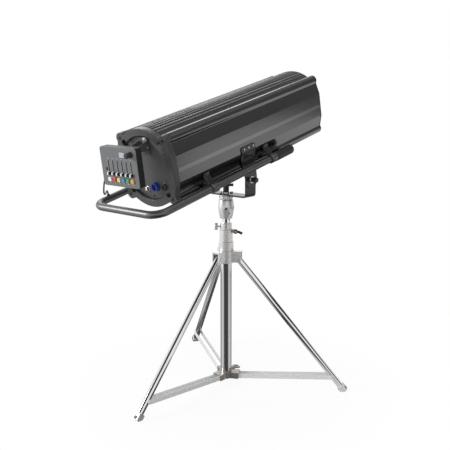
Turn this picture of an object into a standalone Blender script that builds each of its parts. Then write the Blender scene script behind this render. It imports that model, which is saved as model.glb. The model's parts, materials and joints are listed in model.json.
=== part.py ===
"""Follow spot on a folding tripod stand: stand, mast, yoke, lamp head and control console.

Metres, +Z up, floor at z = 0. The beam points along +X and the operator stands at -X. The lamp head
is modelled level in its own frame (u along the beam, v to the left, w up) and then pitched up.
"""

import math

import bmesh
import bpy
from mathutils import Matrix, Vector

for old in list(bpy.data.objects):
    bpy.data.objects.remove(old)

# Fits shared by every piece
seat_gap = 0.0003
running_gap = 0.0003
smooth_angle = math.radians(46)

# Tripod
column_radius = 0.0225
column_wall = 0.0025
column_end_height = 0.0185
column_engagement = 0.045
leg_angle = math.radians(39.8)
first_leg_bearing = math.radians(178.15)
leg_count = 3
leg_radius = 0.0125
leg_wall = 0.002
leg_pivot_radius = 0.046
leg_pivot_height = 0.522
leg_plug_length = 0.030
brace_joint_above_foot = 0.0504
brace_joint_inset = 0.005
pin_radius = 0.004
pin_head_radius = 0.0065
pin_head_height = 0.002
foot_length = 0.029
foot_half_height = 0.014
foot_width = 0.028
foot_socket_depth = 0.010
foot_pocket_rim = 0.003
foot_pocket_width = 0.018
foot_pocket_depth = 0.011
hub_ring_radius = 0.031
hub_below_pivot = 0.0215
hub_above_pivot = 0.0275
hub_flange_height = 0.006
clevis_reach = 0.0155
clevis_cheek = 0.004
clevis_side_gap = 0.001

# Spreader under the legs
spreader_height = 0.0285
spreader_ring_radius = 0.0275
spreader_skirt = 0.011
spreader_roof = 0.0045
spreader_roof_gap = 0.0020
spreader_cheek = 0.0032
spreader_cheek_gap = 0.0007
spreader_arm_reach = 0.017
spreader_pivot_radius = 0.038
spreader_slide_gap = 0.0005
brace_bar_height = 0.018
brace_bar_thickness = 0.003
brace_side_gap = 0.001
brace_sleeve_radius = 0.007
lock_screw_bearing = 0.0
lock_lug_width = 0.018
lock_lug_reach = 0.042
lock_lug_height = 0.006
lock_stem_radius = 0.004
lock_stem_reach = 0.056
lock_wing_span = 0.034
lock_wing_depth = 0.016
lock_wing_thickness = 0.006

# Mast head
sleeve_lower_radius = 0.0295
sleeve_lower_height = 0.0365
sleeve_upper_radius = 0.0265
sleeve_upper_height = 0.0485
neck_radius = 0.023
neck_height = 0.026
neck_slit_width = 0.003
neck_slit_bearing = math.radians(220.0)
collar_screw_bearing = math.radians(130.0)
collar_stem_radius = 0.0035
collar_head_radius = 0.0135
collar_head_thickness = 0.013
collar_head_reach = 0.032
lever_bearing = math.radians(-50.0)
lever_axis_radius = 0.037
lever_axis_drop = 0.008
lever_hub_radius = 0.0085
lever_hub_width = 0.011
lever_stud_radius = 0.0035
lever_boss_width = 0.014
lever_length = 0.026
lever_tip_radius = 0.0048

# Riser, swivel and yoke
riser_radius = 0.0165
riser_wall = 0.003
riser_length = 0.500
riser_cap_thickness = 0.010
riser_bush_height = 0.030
riser_showing = 0.018
riser_socket_depth = 0.0165
barrel_height = 0.075
barrel_foot_radius = 0.024
barrel_belly_radius = 0.0315
barrel_top_radius = 0.028
pan_stud_radius = 0.006
pan_stud_length = 0.041
flange_radius = 0.0245
flange_height = 0.0175
flange_screw_count = 6
flange_screw_radius = 0.0035
flange_screw_height = 0.002
yoke_thickness = 0.006
yoke_width = 0.058
yoke_bend = 0.014
yoke_pivot_rise = 0.063
yoke_bolt_circle = 0.021
yoke_bolt_radius = 0.0062
yoke_bolt_height = 0.005
pan_knob_radius = 0.0115
pan_knob_height = 0.037
pan_arm_reach = 0.028
pan_arm_width = 0.011
pan_arm_height = 0.010
pan_arm_bearing = math.radians(-40.0)
tilt_stud_radius = 0.006
tilt_nut_radius = 0.010
tilt_nut_height = 0.005
tilt_washer_radius = 0.014
tilt_washer_height = 0.0025
tilt_knob_radius = 0.0095
tilt_knob_length = 0.024

# Lamp head: its rest pitch and its extruded housing, measured from the housing's axis
head_pitch = math.radians(12.85)
housing_axis_rise = 0.1622
housing_back = 0.395
housing_front = 0.501
core_radius = 0.140
core_half_width = 0.082
shell_wall = 0.003
lobe_y = 0.103
lobe_z = 0.101
lobe_radius = 0.020
waist_y = 0.1205
waist_z = 0.084
side_y = 0.131
side_z = 0.047
lip_width = 0.015
rib_count = 11
rib_depth = 0.0012
vent_rows = 6
vent_columns = 3
vent_back = 0.333
vent_front = 0.113
vent_half_width = 0.046
vent_slot_width = 0.0045
vent_bridge = 0.006
belly_vent_rows = 3
belly_vent_columns = 2
rear_bezel_depth = 0.023
bezel_rim = 0.025
bezel_opening_half_width = 0.098
bezel_notch_place = 0.086
bezel_notch_radius = 0.011
rear_panel_recess = 0.015
rear_panel_thickness = 0.003
front_bezel_depth = 0.008
front_opening_radius = 0.092
hood_depth = 0.004
hood_wall = 0.004
inlet_place = (-0.020, -0.068)
inlet_radius = 0.0155
inlet_length = 0.013
inlet_recess_radius = 0.011
inlet_recess_depth = 0.008
socket_place = (-0.062, -0.066)
socket_radius = 0.011
socket_length = 0.008
fuse_place = (0.026, -0.080)
fuse_radius = 0.007
fuse_length = 0.010

# Pivot plates and handle
plate_thickness = 0.003
plate_lobe_gap = 0.0005
plate_back = 0.044
plate_front = 0.039
plate_top_rise = 0.021
plate_corner = 0.008
plate_end_radius = 0.033
plate_hole_radius = 0.003
plate_hole_pitch = 0.027
handle_radius = 0.013
handle_half_width = 0.158
handle_rise = 0.0562
handle_back = 0.525
handle_front = 0.217
handle_bend = 0.050
tab_places = (-0.245, 0.100)
tab_length = 0.030
tab_thickness = 0.004
tab_strap = 0.006
tab_ring_radius = 0.0175
grip_radius = 0.0185
grip_wall_end = 0.008
grip_length = 0.108
grommet_place = 0.453
grommet_radius = 0.006
grommet_rise = 0.004

# Optics inside the housing
chassis_wall_gap = 0.0083
chassis_half_width = 0.070
chassis_thickness = 0.004
rail_y = 0.055
rail_width = 0.006
rail_height = 0.010
rail_back = 0.160
rail_front = 0.430
gate_place = -0.203
gate_thickness = 0.004
gate_top = 0.075
gate_aperture = 0.026
engine_back = 0.345
engine_front = 0.235
engine_half_width = 0.068
engine_top = 0.070
engine_fin_count = 9
engine_fin_depth = 0.070
engine_fin_gap = 0.008
fan_radius = 0.045
fan_hub_radius = 0.016
fan_depth = 0.014
fan_blade_count = 6
fan_blade_thickness = 0.002
fan_gap = 0.004
fan_shaft_radius = 0.003
fan_shaft_length = 0.012
wheel_radius = 0.070
wheel_axis_y = 0.050
wheel_thickness = 0.003
wheel_filter_circle = 0.050
wheel_filter_radius = 0.018
wheel_filter_count = 6
wheel_shaft_radius = 0.004
wheel_stand_off = 0.006
lens_radius = 0.062
lens_sagitta = 0.010
lens_edge = 0.006
lens_ring_wall = 0.006
lens_ring_depth = 0.020
saddle_clear = 0.002
zoom_place = -0.020
focus_place = 0.250
front_lens_radius = 0.098
front_lens_sagitta = 0.008
front_lens_edge = 0.008

# Control console on its hinge behind the housing
hinge_back = 0.423
hinge_below_top = 0.0622
hinge_ear_y = 0.016
hinge_ear_thickness = 0.004
hinge_ear_radius = 0.011
hinge_pin_radius = 0.004
hinge_base_half_width = 0.022
hinge_base_height = 0.060
hinge_base_thickness = 0.004
console_lean = math.radians(4.76)
console_reach = 0.081
console_drop = 0.044
console_width = 0.175
console_height = 0.133
console_depth = 0.0235
console_wall = 0.0025
console_corner = 0.010
console_panel_thickness = 0.0025
tongue_height = 0.016
control_count = 6
control_pitch = 0.022
control_first = 0.036
slot_top = 0.045
slot_length = 0.052
slot_width = 0.004
fader_rest = 0.090
fader_cap_height = 0.013
fader_cap_width = 0.009
fader_cap_rise = 0.009
fader_stem_depth = 0.008
button_row = 0.110
button_width = 0.0145
button_height = 0.0130
button_rise = 0.005
button_flange = 0.0015
button_flange_depth = 0.002
encoder_place = (0.150, 0.021)
encoder_radius = 0.009
encoder_length = 0.022
encoder_skirt = 0.0105
encoder_shaft_radius = 0.003
cable_radius = 0.0025
gland_radius = 0.0055
gland_length = 0.006
gland_rise = 0.013
# The cord's route: steps from the gland's end, then steps back from the grommet
cable_leaves = [
    (0, 0, 0),
    (0, 0.003, 0),
    (0, 0.006, 0),
    (0.001, 0.0105, -0.007),
    (0.003, 0.014, -0.024),
]
cable_arrives = [
    (-0.028, -0.030, 0.022),
    (-0.012, -0.007, 0.013),
    (0, 0, 0.007),
    (0, 0, 0.0035),
    (0, 0, 0),
]
cable_steps = 2

# Heights and places that follow from the sizes above
hub_bottom = leg_pivot_height - hub_below_pivot
hub_top = leg_pivot_height + hub_above_pivot
sleeve_bottom = hub_top + seat_gap
sleeve_step = sleeve_bottom + sleeve_lower_height
neck_bottom = sleeve_step + sleeve_upper_height
neck_top = neck_bottom + neck_height
column_top = sleeve_bottom + column_engagement
barrel_bottom = neck_top + riser_showing
barrel_top = barrel_bottom + barrel_height
riser_top = barrel_bottom + riser_socket_depth
flange_bottom = barrel_top + running_gap
yoke_bottom = flange_bottom + flange_height + seat_gap
yoke_plate_top = yoke_bottom + yoke_thickness
tilt_height = yoke_plate_top + yoke_pivot_rise
plate_y = lobe_y + lobe_radius + plate_lobe_gap
yoke_half_width = plate_y - running_gap
shell_back = -housing_back + rear_bezel_depth + seat_gap
shell_front = housing_front - front_bezel_depth - seat_gap
panel_back = -housing_back + rear_panel_recess
brace_gap_half = leg_radius + brace_side_gap
leg_to_floor = leg_pivot_height / math.cos(leg_angle)
brace_joint_distance = leg_to_floor - foot_length - brace_joint_above_foot
bezel_opening_radius = core_radius - bezel_rim
hinge_rise = housing_axis_rise + core_radius - hinge_below_top
chassis_corner = core_radius - shell_wall - chassis_wall_gap
chassis_drop = math.sqrt(chassis_corner**2 - chassis_half_width**2) - chassis_thickness / 2
bearings = [first_leg_bearing + k * 2 * math.pi / leg_count for k in range(leg_count)]

parts = bpy.data.collections.new("follow_spot")
cutters = bpy.data.collections.new("cutters")
bpy.context.scene.collection.children.link(parts)
bpy.context.scene.collection.children.link(cutters)

# Turns that lay a flat outline, drawn in X and Y and given thickness along Z, across another axis
ACROSS_X = Matrix(((0, 0, 1, 0), (1, 0, 0, 0), (0, 1, 0, 0), (0, 0, 0, 1)))
ACROSS_Y = Matrix(((1, 0, 0, 0), (0, 0, -1, 0), (0, 1, 0, 0), (0, 0, 0, 1)))
ACROSS_Z = Matrix.Identity(4)
ALONG = {"X": ACROSS_X, "Y": ACROSS_Y, "Z": ACROSS_Z}


def finish(name, colour, roughness, metallic):
    """A Principled material in the part's own colour."""
    material = bpy.data.materials.new(name)
    material.use_nodes = True
    shader = material.node_tree.nodes["Principled BSDF"]
    shader.inputs["Base Color"].default_value = (*colour, 1)
    shader.inputs["Roughness"].default_value = roughness
    shader.inputs["Metallic"].default_value = metallic
    return material


chrome = finish("chrome", (0.75, 0.75, 0.76), 0.15, 1.0)
nickel = finish("nickel_casting", (0.62, 0.62, 0.60), 0.38, 1.0)
zinc = finish("zinc_bar", (0.66, 0.66, 0.65), 0.42, 1.0)
black_paint = finish("black_paint", (0.035, 0.036, 0.038), 0.45, 0.0)
grey_casting = finish("grey_casting", (0.11, 0.11, 0.115), 0.55, 0.0)
black_plastic = finish("black_plastic", (0.02, 0.02, 0.02), 0.5, 0.0)
rubber = finish("black_rubber", (0.03, 0.03, 0.03), 0.8, 0.0)
blue_plastic = finish("blue_plastic", (0.02, 0.06, 0.35), 0.4, 0.0)
glass = finish("lens_glass", (0.8, 0.86, 0.9), 0.05, 0.0)
aluminium = finish("aluminium", (0.6, 0.6, 0.62), 0.4, 1.0)
console_grey = finish("console_grey", (0.13, 0.13, 0.14), 0.5, 0.0)
button_finishes = [
    finish("button_white", (0.85, 0.85, 0.85), 0.4, 0.0),
    finish("button_red", (0.6, 0.06, 0.05), 0.4, 0.0),
    finish("button_yellow", (0.75, 0.62, 0.2), 0.4, 0.0),
    finish("button_blue", (0.05, 0.25, 0.5), 0.4, 0.0),
    finish("button_green", (0.03, 0.4, 0.15), 0.4, 0.0),
    finish("button_orange", (0.8, 0.35, 0.05), 0.4, 0.0),
]


def frame(name, place, turn=(0, 0, 0), parent=None):
    """An empty that carries pieces, with its origin on their joint's axis."""
    empty = bpy.data.objects.new(name, None)
    empty.location = place
    empty.rotation_euler = turn
    empty.parent = parent
    parts.objects.link(empty)
    return empty


def piece(name, mesh, material, parent):
    """A named sub-part made of a finished mesh, in its parent's frame."""
    made = bpy.data.objects.new(name, mesh)
    made.parent = parent
    mesh.materials.append(material)
    parts.objects.link(made)
    return made


def tool(mesh, parent, name="cutter"):
    """A hidden mesh that a Boolean cuts with or joins on."""
    made = bpy.data.objects.new(name, mesh)
    made.parent = parent
    made.hide_render = True
    made.display_type = "WIRE"
    cutters.objects.link(made)
    return made


def boolean(target, other, operation):
    modifier = target.modifiers.new(operation.lower(), "BOOLEAN")
    modifier.operation = operation
    modifier.solver = "EXACT"
    modifier.object = other


def cut(target, mesh):
    boolean(target, tool(mesh, target.parent), "DIFFERENCE")


def join(target, mesh):
    boolean(target, tool(mesh, target.parent), "UNION")


def trim(target, mesh):
    boolean(target, tool(mesh, target.parent), "INTERSECT")


def soften(target, width, segments=2):
    """Round the sharp edges of a piece."""
    modifier = target.modifiers.new("edges", "BEVEL")
    modifier.width = width
    modifier.segments = segments
    modifier.limit_method = "ANGLE"
    modifier.angle_limit = math.radians(40)


def shaded(mesh):
    """Round faces shaded smooth, with the real edges kept sharp."""
    mesh.shade_smooth()
    mesh.set_sharp_from_angle(angle=smooth_angle)
    return mesh


def mesh_of(form, name="form"):
    mesh = bpy.data.meshes.new(name)
    form.to_mesh(mesh)
    form.free()
    return shaded(mesh)


def block(low, high):
    """A box between two corners."""
    form = bmesh.new()
    low, high = Vector(low), Vector(high)
    bmesh.ops.create_cube(form, size=1)
    bmesh.ops.scale(form, vec=high - low, verts=form.verts)
    bmesh.ops.translate(form, vec=(low + high) / 2, verts=form.verts)
    return mesh_of(form)


def rod(start, end, radius, sides=16, end_radius=None):
    """A cylinder, or a cone, between two points."""
    form = bmesh.new()
    start, end = Vector(start), Vector(end)
    axis = end - start
    last = radius if end_radius is None else end_radius
    bmesh.ops.create_cone(
        form, cap_ends=True, segments=sides, radius1=radius, radius2=last, depth=axis.length
    )
    turn = axis.to_track_quat("Z", "Y").to_matrix().to_4x4()
    bmesh.ops.transform(form, matrix=Matrix.Translation((start + end) / 2) @ turn, verts=form.verts)
    return mesh_of(form)


def together(meshes):
    """Several separate meshes as one cutter."""
    form = bmesh.new()
    for mesh in meshes:
        form.from_mesh(mesh)
    return mesh_of(form)


def moved(mesh, matrix):
    mesh.transform(matrix)
    return mesh


def bearing(angle):
    return Matrix.Rotation(angle, 4, "Z")


def solidified(curve):
    """The mesh that a curve makes, with its loose caps welded on."""
    holder = bpy.data.objects.new("curve", curve)
    bpy.context.scene.collection.objects.link(holder)
    graph = bpy.context.evaluated_depsgraph_get()
    mesh = bpy.data.meshes.new_from_object(holder.evaluated_get(graph))
    bpy.data.objects.remove(holder)
    form = bmesh.new()
    form.from_mesh(mesh)
    bmesh.ops.remove_doubles(form, verts=form.verts, dist=1e-6)
    bmesh.ops.recalc_face_normals(form, faces=form.faces)
    form.to_mesh(mesh)
    form.free()
    return shaded(mesh)


def extruded(loops, low, high, axis="X"):
    """A flat outline, with any holes after it, given thickness from low to high along an axis."""
    curve = bpy.data.curves.new("outline", "CURVE")
    curve.dimensions = "2D"
    curve.fill_mode = "BOTH"
    curve.extrude = (high - low) / 2
    for loop in loops:
        spline = curve.splines.new("POLY")
        spline.points.add(len(loop) - 1)
        spline.use_cyclic_u = True
        for point, (x, y) in zip(spline.points, loop):
            point.co = (x, y, 0, 1)
    mesh = moved(solidified(curve), ALONG[axis])
    middle = (low + high) / 2
    shift = {"X": (middle, 0, 0), "Y": (0, middle, 0), "Z": (0, 0, middle)}[axis]
    return moved(mesh, Matrix.Translation(shift))


def tube(points, radius, resolution=3):
    """A round tube along a line of points."""
    curve = bpy.data.curves.new("tube", "CURVE")
    curve.dimensions = "3D"
    curve.bevel_depth = radius
    curve.bevel_resolution = resolution
    curve.use_fill_caps = True
    spline = curve.splines.new("POLY")
    spline.points.add(len(points) - 1)
    for point, place in zip(spline.points, points):
        point.co = (*place, 1)
    return curve


def turned(name, profile, material, parent, matrix=ACROSS_Z, sides=20):
    """A profile of (radius, height) points turned about its own Z axis, then laid along another."""
    form = bmesh.new()
    area = sum(a[0] * b[1] - b[0] * a[1] for a, b in zip(profile, profile[1:] + profile[:1]))
    if area > 0:
        profile = profile[::-1]
    points = [form.verts.new((r, 0, z)) for r, z in profile]
    for first, second in zip(points, points[1:]):
        form.edges.new((first, second))
    if profile[0][0] > 0:
        form.edges.new((points[-1], points[0]))
    made = piece(name, mesh_of(form, name), material, parent)
    made.matrix_local = matrix
    screw = made.modifiers.new("turn", "SCREW")
    screw.axis = "Z"
    screw.angle = 2 * math.pi
    screw.steps = sides
    screw.render_steps = sides
    screw.use_merge_vertices = True
    screw.merge_threshold = 1e-5
    graph = bpy.context.evaluated_depsgraph_get()
    made.data = shaded(bpy.data.meshes.new_from_object(made.evaluated_get(graph)))
    made.modifiers.remove(screw)
    return made


def arc(centre, radius, start, end, steps):
    """Points on an arc, angles in radians."""
    angles = [start + (end - start) * k / steps for k in range(steps + 1)]
    return [(centre[0] + radius * math.cos(a), centre[1] + radius * math.sin(a)) for a in angles]


def circle(centre, radius, sides=24):
    return arc(centre, radius, 0, 2 * math.pi, sides)[:-1]


def rounded(width, height, corner, centre=(0, 0), steps=3):
    """A rectangle with round corners."""
    x, y = width / 2 - corner, height / 2 - corner
    loop = []
    for k, (sx, sy) in enumerate(((1, 1), (-1, 1), (-1, -1), (1, -1))):
        place = (centre[0] + sx * x, centre[1] + sy * y)
        loop += arc(place, corner, k * math.pi / 2, (k + 1) * math.pi / 2, steps)
    return loop


def strip(path, thickness):
    """The outline of a sheet of even thickness, laid to the right of a path of points."""
    flat = [Vector(p) for p in path]
    sides = []
    for first, second in zip(flat, flat[1:]):
        along = (second - first).normalized()
        sides.append(Vector((along.y, -along.x)))
    offset = [flat[0] + sides[0] * thickness]
    for point, before, after in zip(flat[1:-1], sides, sides[1:]):
        mitre = (before + after).normalized()
        offset.append(point + mitre * thickness / mitre.dot(after))
    offset.append(flat[-1] + sides[-1] * thickness)
    return [tuple(p) for p in flat] + [tuple(p) for p in reversed(offset)]


stand = frame("stand", (0, 0, 0))


def leg_point(along, out):
    """Radius and height of a point given along a leg from its pivot, and out from its axis."""
    radius = leg_pivot_radius + along * math.sin(leg_angle) + out * math.cos(leg_angle)
    height = leg_pivot_height - along * math.cos(leg_angle) + out * math.sin(leg_angle)
    return radius, height


def floor_along(out):
    """How far along the leg a line at this distance from its axis meets the floor."""
    return (leg_pivot_height + out * math.sin(leg_angle)) / math.cos(leg_angle)


def make_column():
    inner = column_radius - column_wall
    ring = [
        (inner, column_end_height),
        (column_radius, column_end_height),
        (column_radius, column_top),
        (inner, column_top),
    ]
    turned("column_tube", ring, chrome, stand)


def make_leg_hub():
    """A ring round the column with three clevises, each closed above by a flange."""
    ring = rod((0, 0, hub_bottom), (0, 0, hub_top), hub_ring_radius, 24)
    hub = piece("leg_hub", ring, nickel, stand)
    inside = leg_radius + clevis_side_gap
    outside = inside + clevis_cheek
    reach = leg_pivot_radius + clevis_reach
    slot_start = leg_pivot_radius - leg_radius - clevis_side_gap
    slot_top = hub_top - hub_flange_height
    for angle in bearings:
        ear = [(column_radius, -outside), (reach, -outside), (reach, outside), (column_radius, outside)]
        join(hub, moved(extruded([ear], hub_bottom + 0.004, hub_top, "Z"), bearing(angle)))
    slots = []
    for angle in bearings:
        slot = block((slot_start, -inside, hub_bottom - 0.01), (reach + 0.01, inside, slot_top))
        slots.append(moved(slot, bearing(angle)))
    cut(hub, together(slots))
    bore = column_radius + seat_gap
    cut(hub, rod((0, 0, hub_bottom - 0.01), (0, 0, hub_top + 0.01), bore, 24))
    for angle in bearings:
        end = outside + pin_head_height
        place = Matrix.Translation((leg_pivot_radius, 0, leg_pivot_height))
        shank = rod((0, -end, 0), (0, end, 0), pin_radius, 12)
        join(hub, moved(shank, bearing(angle) @ place))
        for side in (-1, 1):
            head = rod((0, side * (outside - 0.001), 0), (0, side * end, 0), pin_head_radius, 6)
            join(hub, moved(head, bearing(angle) @ place))


def make_leg(number, angle):
    """A plugged tube with a round eye at its pivot and a rivet that the brace bars straddle."""
    turn = (0, -leg_angle, angle)
    place = (leg_pivot_radius * math.cos(angle), leg_pivot_radius * math.sin(angle), leg_pivot_height)
    hinge = frame(f"leg_{number}_hinge", place, turn, stand)
    end = -(floor_along(0) - foot_length + foot_socket_depth)
    dome = arc((0, 0), leg_radius, math.pi / 2, 0, 2)
    dome[0] = (0, leg_radius)
    inner = leg_radius - leg_wall
    profile = dome + [(leg_radius, end), (inner, end), (inner, -leg_plug_length), (0, -leg_plug_length)]
    leg = turned(f"leg_{number}", profile, chrome, hinge, sides=16)
    across = 2 * leg_radius
    cut(leg, rod((0, -across, 0), (0, across, 0), pin_radius + running_gap, 10))
    stub = brace_gap_half - seat_gap
    z = -brace_joint_distance
    x = -brace_joint_inset
    join(leg, rod((x, -stub, z), (x, stub, z), pin_radius, 10))
    make_foot(number, hinge, end)


def make_foot(number, hinge, leg_end):
    """A moulded block on the leg's end, cut off flat at the floor, with an open pocket outside."""
    start = floor_along(0) - foot_length
    stop = floor_along(0)
    h = foot_half_height
    floor_out = (stop * math.cos(leg_angle) - leg_pivot_height) / math.sin(leg_angle)
    outline = [
        (h, -start),
        (-h, -start),
        (-h, -floor_along(-h)),
        (floor_out, -stop),
        (h, -stop),
    ]
    mesh = extruded([outline], -foot_width / 2, foot_width / 2, "Y")
    foot = piece(f"foot_{number}", mesh, nickel, hinge)
    soften(foot, 0.0012, 1)
    bore = leg_radius + seat_gap
    cut(foot, rod((0, 0, -start + 0.01), (0, 0, leg_end - seat_gap), bore, 16))
    half = foot_pocket_width / 2
    low = (h - foot_pocket_depth, -half, -stop + foot_pocket_rim)
    cut(foot, block(low, (h + 0.01, half, leg_end - foot_pocket_rim)))


def make_spreader():
    """A star-shaped casting that slides on the column: a channel for each brace, a lug for its lock."""
    slide = frame("spreader_slide", (0, 0, spreader_height), (0, 0, 0), stand)
    bottom = -spreader_skirt
    roof = brace_bar_height / 2 + spreader_roof_gap
    top = roof + spreader_roof
    ring = rod((0, 0, bottom), (0, 0, top), spreader_ring_radius, 20)
    hub = piece("spreader_hub", ring, nickel, slide)
    inside = brace_gap_half + brace_bar_thickness + spreader_cheek_gap
    outside = inside + spreader_cheek
    reach = spreader_pivot_radius + spreader_arm_reach
    start = spreader_ring_radius + seat_gap
    slots = []
    for angle in bearings:
        arm = block((column_radius, -outside, bottom + 0.001), (reach, outside, top - 0.0005))
        join(hub, moved(arm, bearing(angle)))
        slot = block((start, -inside, bottom - 0.01), (reach + 0.01, inside, roof))
        slots.append(moved(slot, bearing(angle)))
    cut(hub, together(slots))
    turn = bearing(lock_screw_bearing)
    screw_z = top - lock_stem_radius
    half = lock_lug_width / 2
    lug = block((column_radius, -half, bottom + 0.003), (lock_lug_reach, half, top + lock_lug_height))
    join(hub, moved(lug, turn))
    cut(hub, rod((0, 0, -0.05), (0, 0, 0.08), column_radius + spreader_slide_gap, 20))
    hole = rod((0, 0, screw_z), (2 * lock_lug_reach, 0, screw_z), lock_stem_radius + running_gap, 12)
    cut(hub, moved(hole, turn))
    for angle in bearings:
        x, end = spreader_pivot_radius, outside + pin_head_height
        join(hub, moved(rod((x, -end, 0), (x, end, 0), pin_radius, 8), bearing(angle)))
        for side in (-1, 1):
            head = rod((x, side * (outside - 0.001), 0), (x, side * end, 0), pin_head_radius, 6)
            join(hub, moved(head, bearing(angle)))
    make_lock_screw(slide, screw_z)
    return slide


def make_lock_screw(slide, height):
    """A wing screw through the spreader's lug, against the column."""
    axis = frame("spreader_screw_axis", (0, 0, height), (0, 0, lock_screw_bearing), slide)
    tip = column_radius + spreader_slide_gap + seat_gap
    stem = rod((tip, 0, 0), (lock_stem_reach, 0, 0), lock_stem_radius, 12)
    screw = piece("spreader_screw", stem, nickel, axis)
    end = lock_stem_reach + lock_wing_depth
    join(screw, rod((lock_lug_reach + running_gap, 0, 0), (end, 0, 0), 0.008, 12, 0.006))
    middle = lock_stem_reach + lock_wing_depth / 2 + 0.001
    wing = rounded(lock_wing_depth, lock_wing_span, 0.005, (middle, 0))
    half = lock_wing_thickness / 2
    join(screw, extruded([wing], -half, half, "Z"))


def make_brace(number, angle, slide):
    """Two flat bars that straddle the leg, joined by the sleeve that turns on the spreader's pin."""
    place = (spreader_pivot_radius * math.cos(angle), spreader_pivot_radius * math.sin(angle), 0)
    radius, height = leg_point(brace_joint_distance, -brace_joint_inset)
    run, rise = radius - spreader_pivot_radius, height - spreader_height
    hinge = frame(f"brace_{number}_hinge", place, (0, -math.atan2(rise, run), angle), slide)
    length = math.hypot(run, rise)
    half = brace_bar_height / 2
    bar = arc((0, 0), half, math.pi / 2, 3 * math.pi / 2, 5)
    bar += arc((length, 0), half, -math.pi / 2, math.pi / 2, 5)
    inner, outer = brace_gap_half, brace_gap_half + brace_bar_thickness
    brace = piece(f"brace_{number}", extruded([bar], inner, outer, "Y"), zinc, hinge)
    join(brace, extruded([bar], -outer, -inner, "Y"))
    join(brace, rod((0, -inner - 0.001, 0), (0, inner + 0.001, 0), brace_sleeve_radius, 10))
    cut(brace, rod((0, -2 * outer, 0), (0, 2 * outer, 0), pin_radius + running_gap, 10))
    end = outer + pin_head_height
    for side in (-1, 1):
        join(brace, rod((length, side * (outer - 0.001), 0), (length, side * end, 0), pin_head_radius, 6))


def make_mast_sleeve():
    """The cast head of the column: a stepped sleeve with a split neck that grips the riser."""
    column_bore = column_radius + seat_gap
    riser_bore = riser_radius + running_gap
    shoulder = column_top + seat_gap
    profile = [
        (column_bore, sleeve_bottom),
        (sleeve_lower_radius, sleeve_bottom),
        (sleeve_lower_radius, sleeve_step - 0.002),
        (sleeve_upper_radius, sleeve_step),
        (sleeve_upper_radius, neck_bottom - 0.002),
        (neck_radius, neck_bottom),
        (neck_radius, neck_top),
        (riser_bore, neck_top),
        (riser_bore, shoulder),
        (column_bore, shoulder),
    ]
    sleeve = turned("mast_sleeve", profile, nickel, stand)
    half = neck_slit_width / 2
    slit = block((0, -half, neck_bottom + 0.001), (2 * neck_radius, half, neck_top + 0.01))
    boss_half = lever_boss_width / 2
    lever_z = neck_bottom - lever_axis_drop
    turn = bearing(lever_bearing)
    face = lever_axis_radius + lever_stud_radius + 0.003
    boss_half_height = lever_stud_radius + 0.004
    foot = sleeve_upper_radius - 0.003
    low = (foot, -boss_half, lever_z - boss_half_height)
    boss = block(low, (face, boss_half, lever_z + boss_half_height))
    join(sleeve, moved(boss, turn))
    stud_end = -boss_half - lever_hub_width - 0.002
    x = lever_axis_radius
    stud = rod((x, 0, lever_z), (x, stud_end, lever_z), lever_stud_radius, 12)
    join(sleeve, moved(stud, turn))
    cut(sleeve, moved(slit, bearing(neck_slit_bearing)))
    screw_z = neck_bottom + 0.38 * neck_height
    hole = rod((0, 0, screw_z), (2 * neck_radius, 0, screw_z), collar_stem_radius + running_gap, 12)
    cut(sleeve, moved(hole, bearing(collar_screw_bearing)))
    make_collar_screw(screw_z)
    make_clamp_lever(lever_z)


def make_collar_screw(height):
    """A thumbscrew with a thick knurled head, through the split neck."""
    axis = frame("collar_screw_axis", (0, 0, height), (0, 0, collar_screw_bearing), stand)
    tip = riser_radius + running_gap + seat_gap
    end = collar_head_reach + collar_head_thickness
    chamfer = 0.0015
    profile = [
        (0, tip),
        (collar_stem_radius, tip),
        (collar_stem_radius, collar_head_reach),
        (collar_head_radius - chamfer, collar_head_reach),
        (collar_head_radius, collar_head_reach + chamfer),
        (collar_head_radius, end - chamfer),
        (collar_head_radius - chamfer, end),
        (0, end),
    ]
    turned("collar_screw", profile, nickel, axis, ACROSS_X, 12)


def make_clamp_lever(height):
    """A curved clamping lever on the stud beside the sleeve's boss."""
    turn = bearing(lever_bearing)
    place = turn @ Vector((lever_axis_radius, 0, height))
    axis = frame("clamp_lever_axis", place, (0, 0, lever_bearing), stand)
    near = -lever_boss_width / 2 - running_gap
    far = near - lever_hub_width
    hub = rod((0, near, 0), (0, far, 0), lever_hub_radius, 12)
    lever = piece("clamp_lever", hub, black_plastic, axis)
    middle = (near + far) / 2
    bend = lever_length * 0.55
    join(lever, rod((0, middle, 0), (bend, middle, -0.002), 0.0055, 8, lever_tip_radius))
    tip = (lever_length, middle, -0.008)
    join(lever, rod((bend - 0.003, middle, -0.001), tip, lever_tip_radius, 8, 0.0055))
    cut(lever, rod((0, 0.02, 0), (0, -0.05, 0), lever_stud_radius + running_gap, 12))


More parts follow.
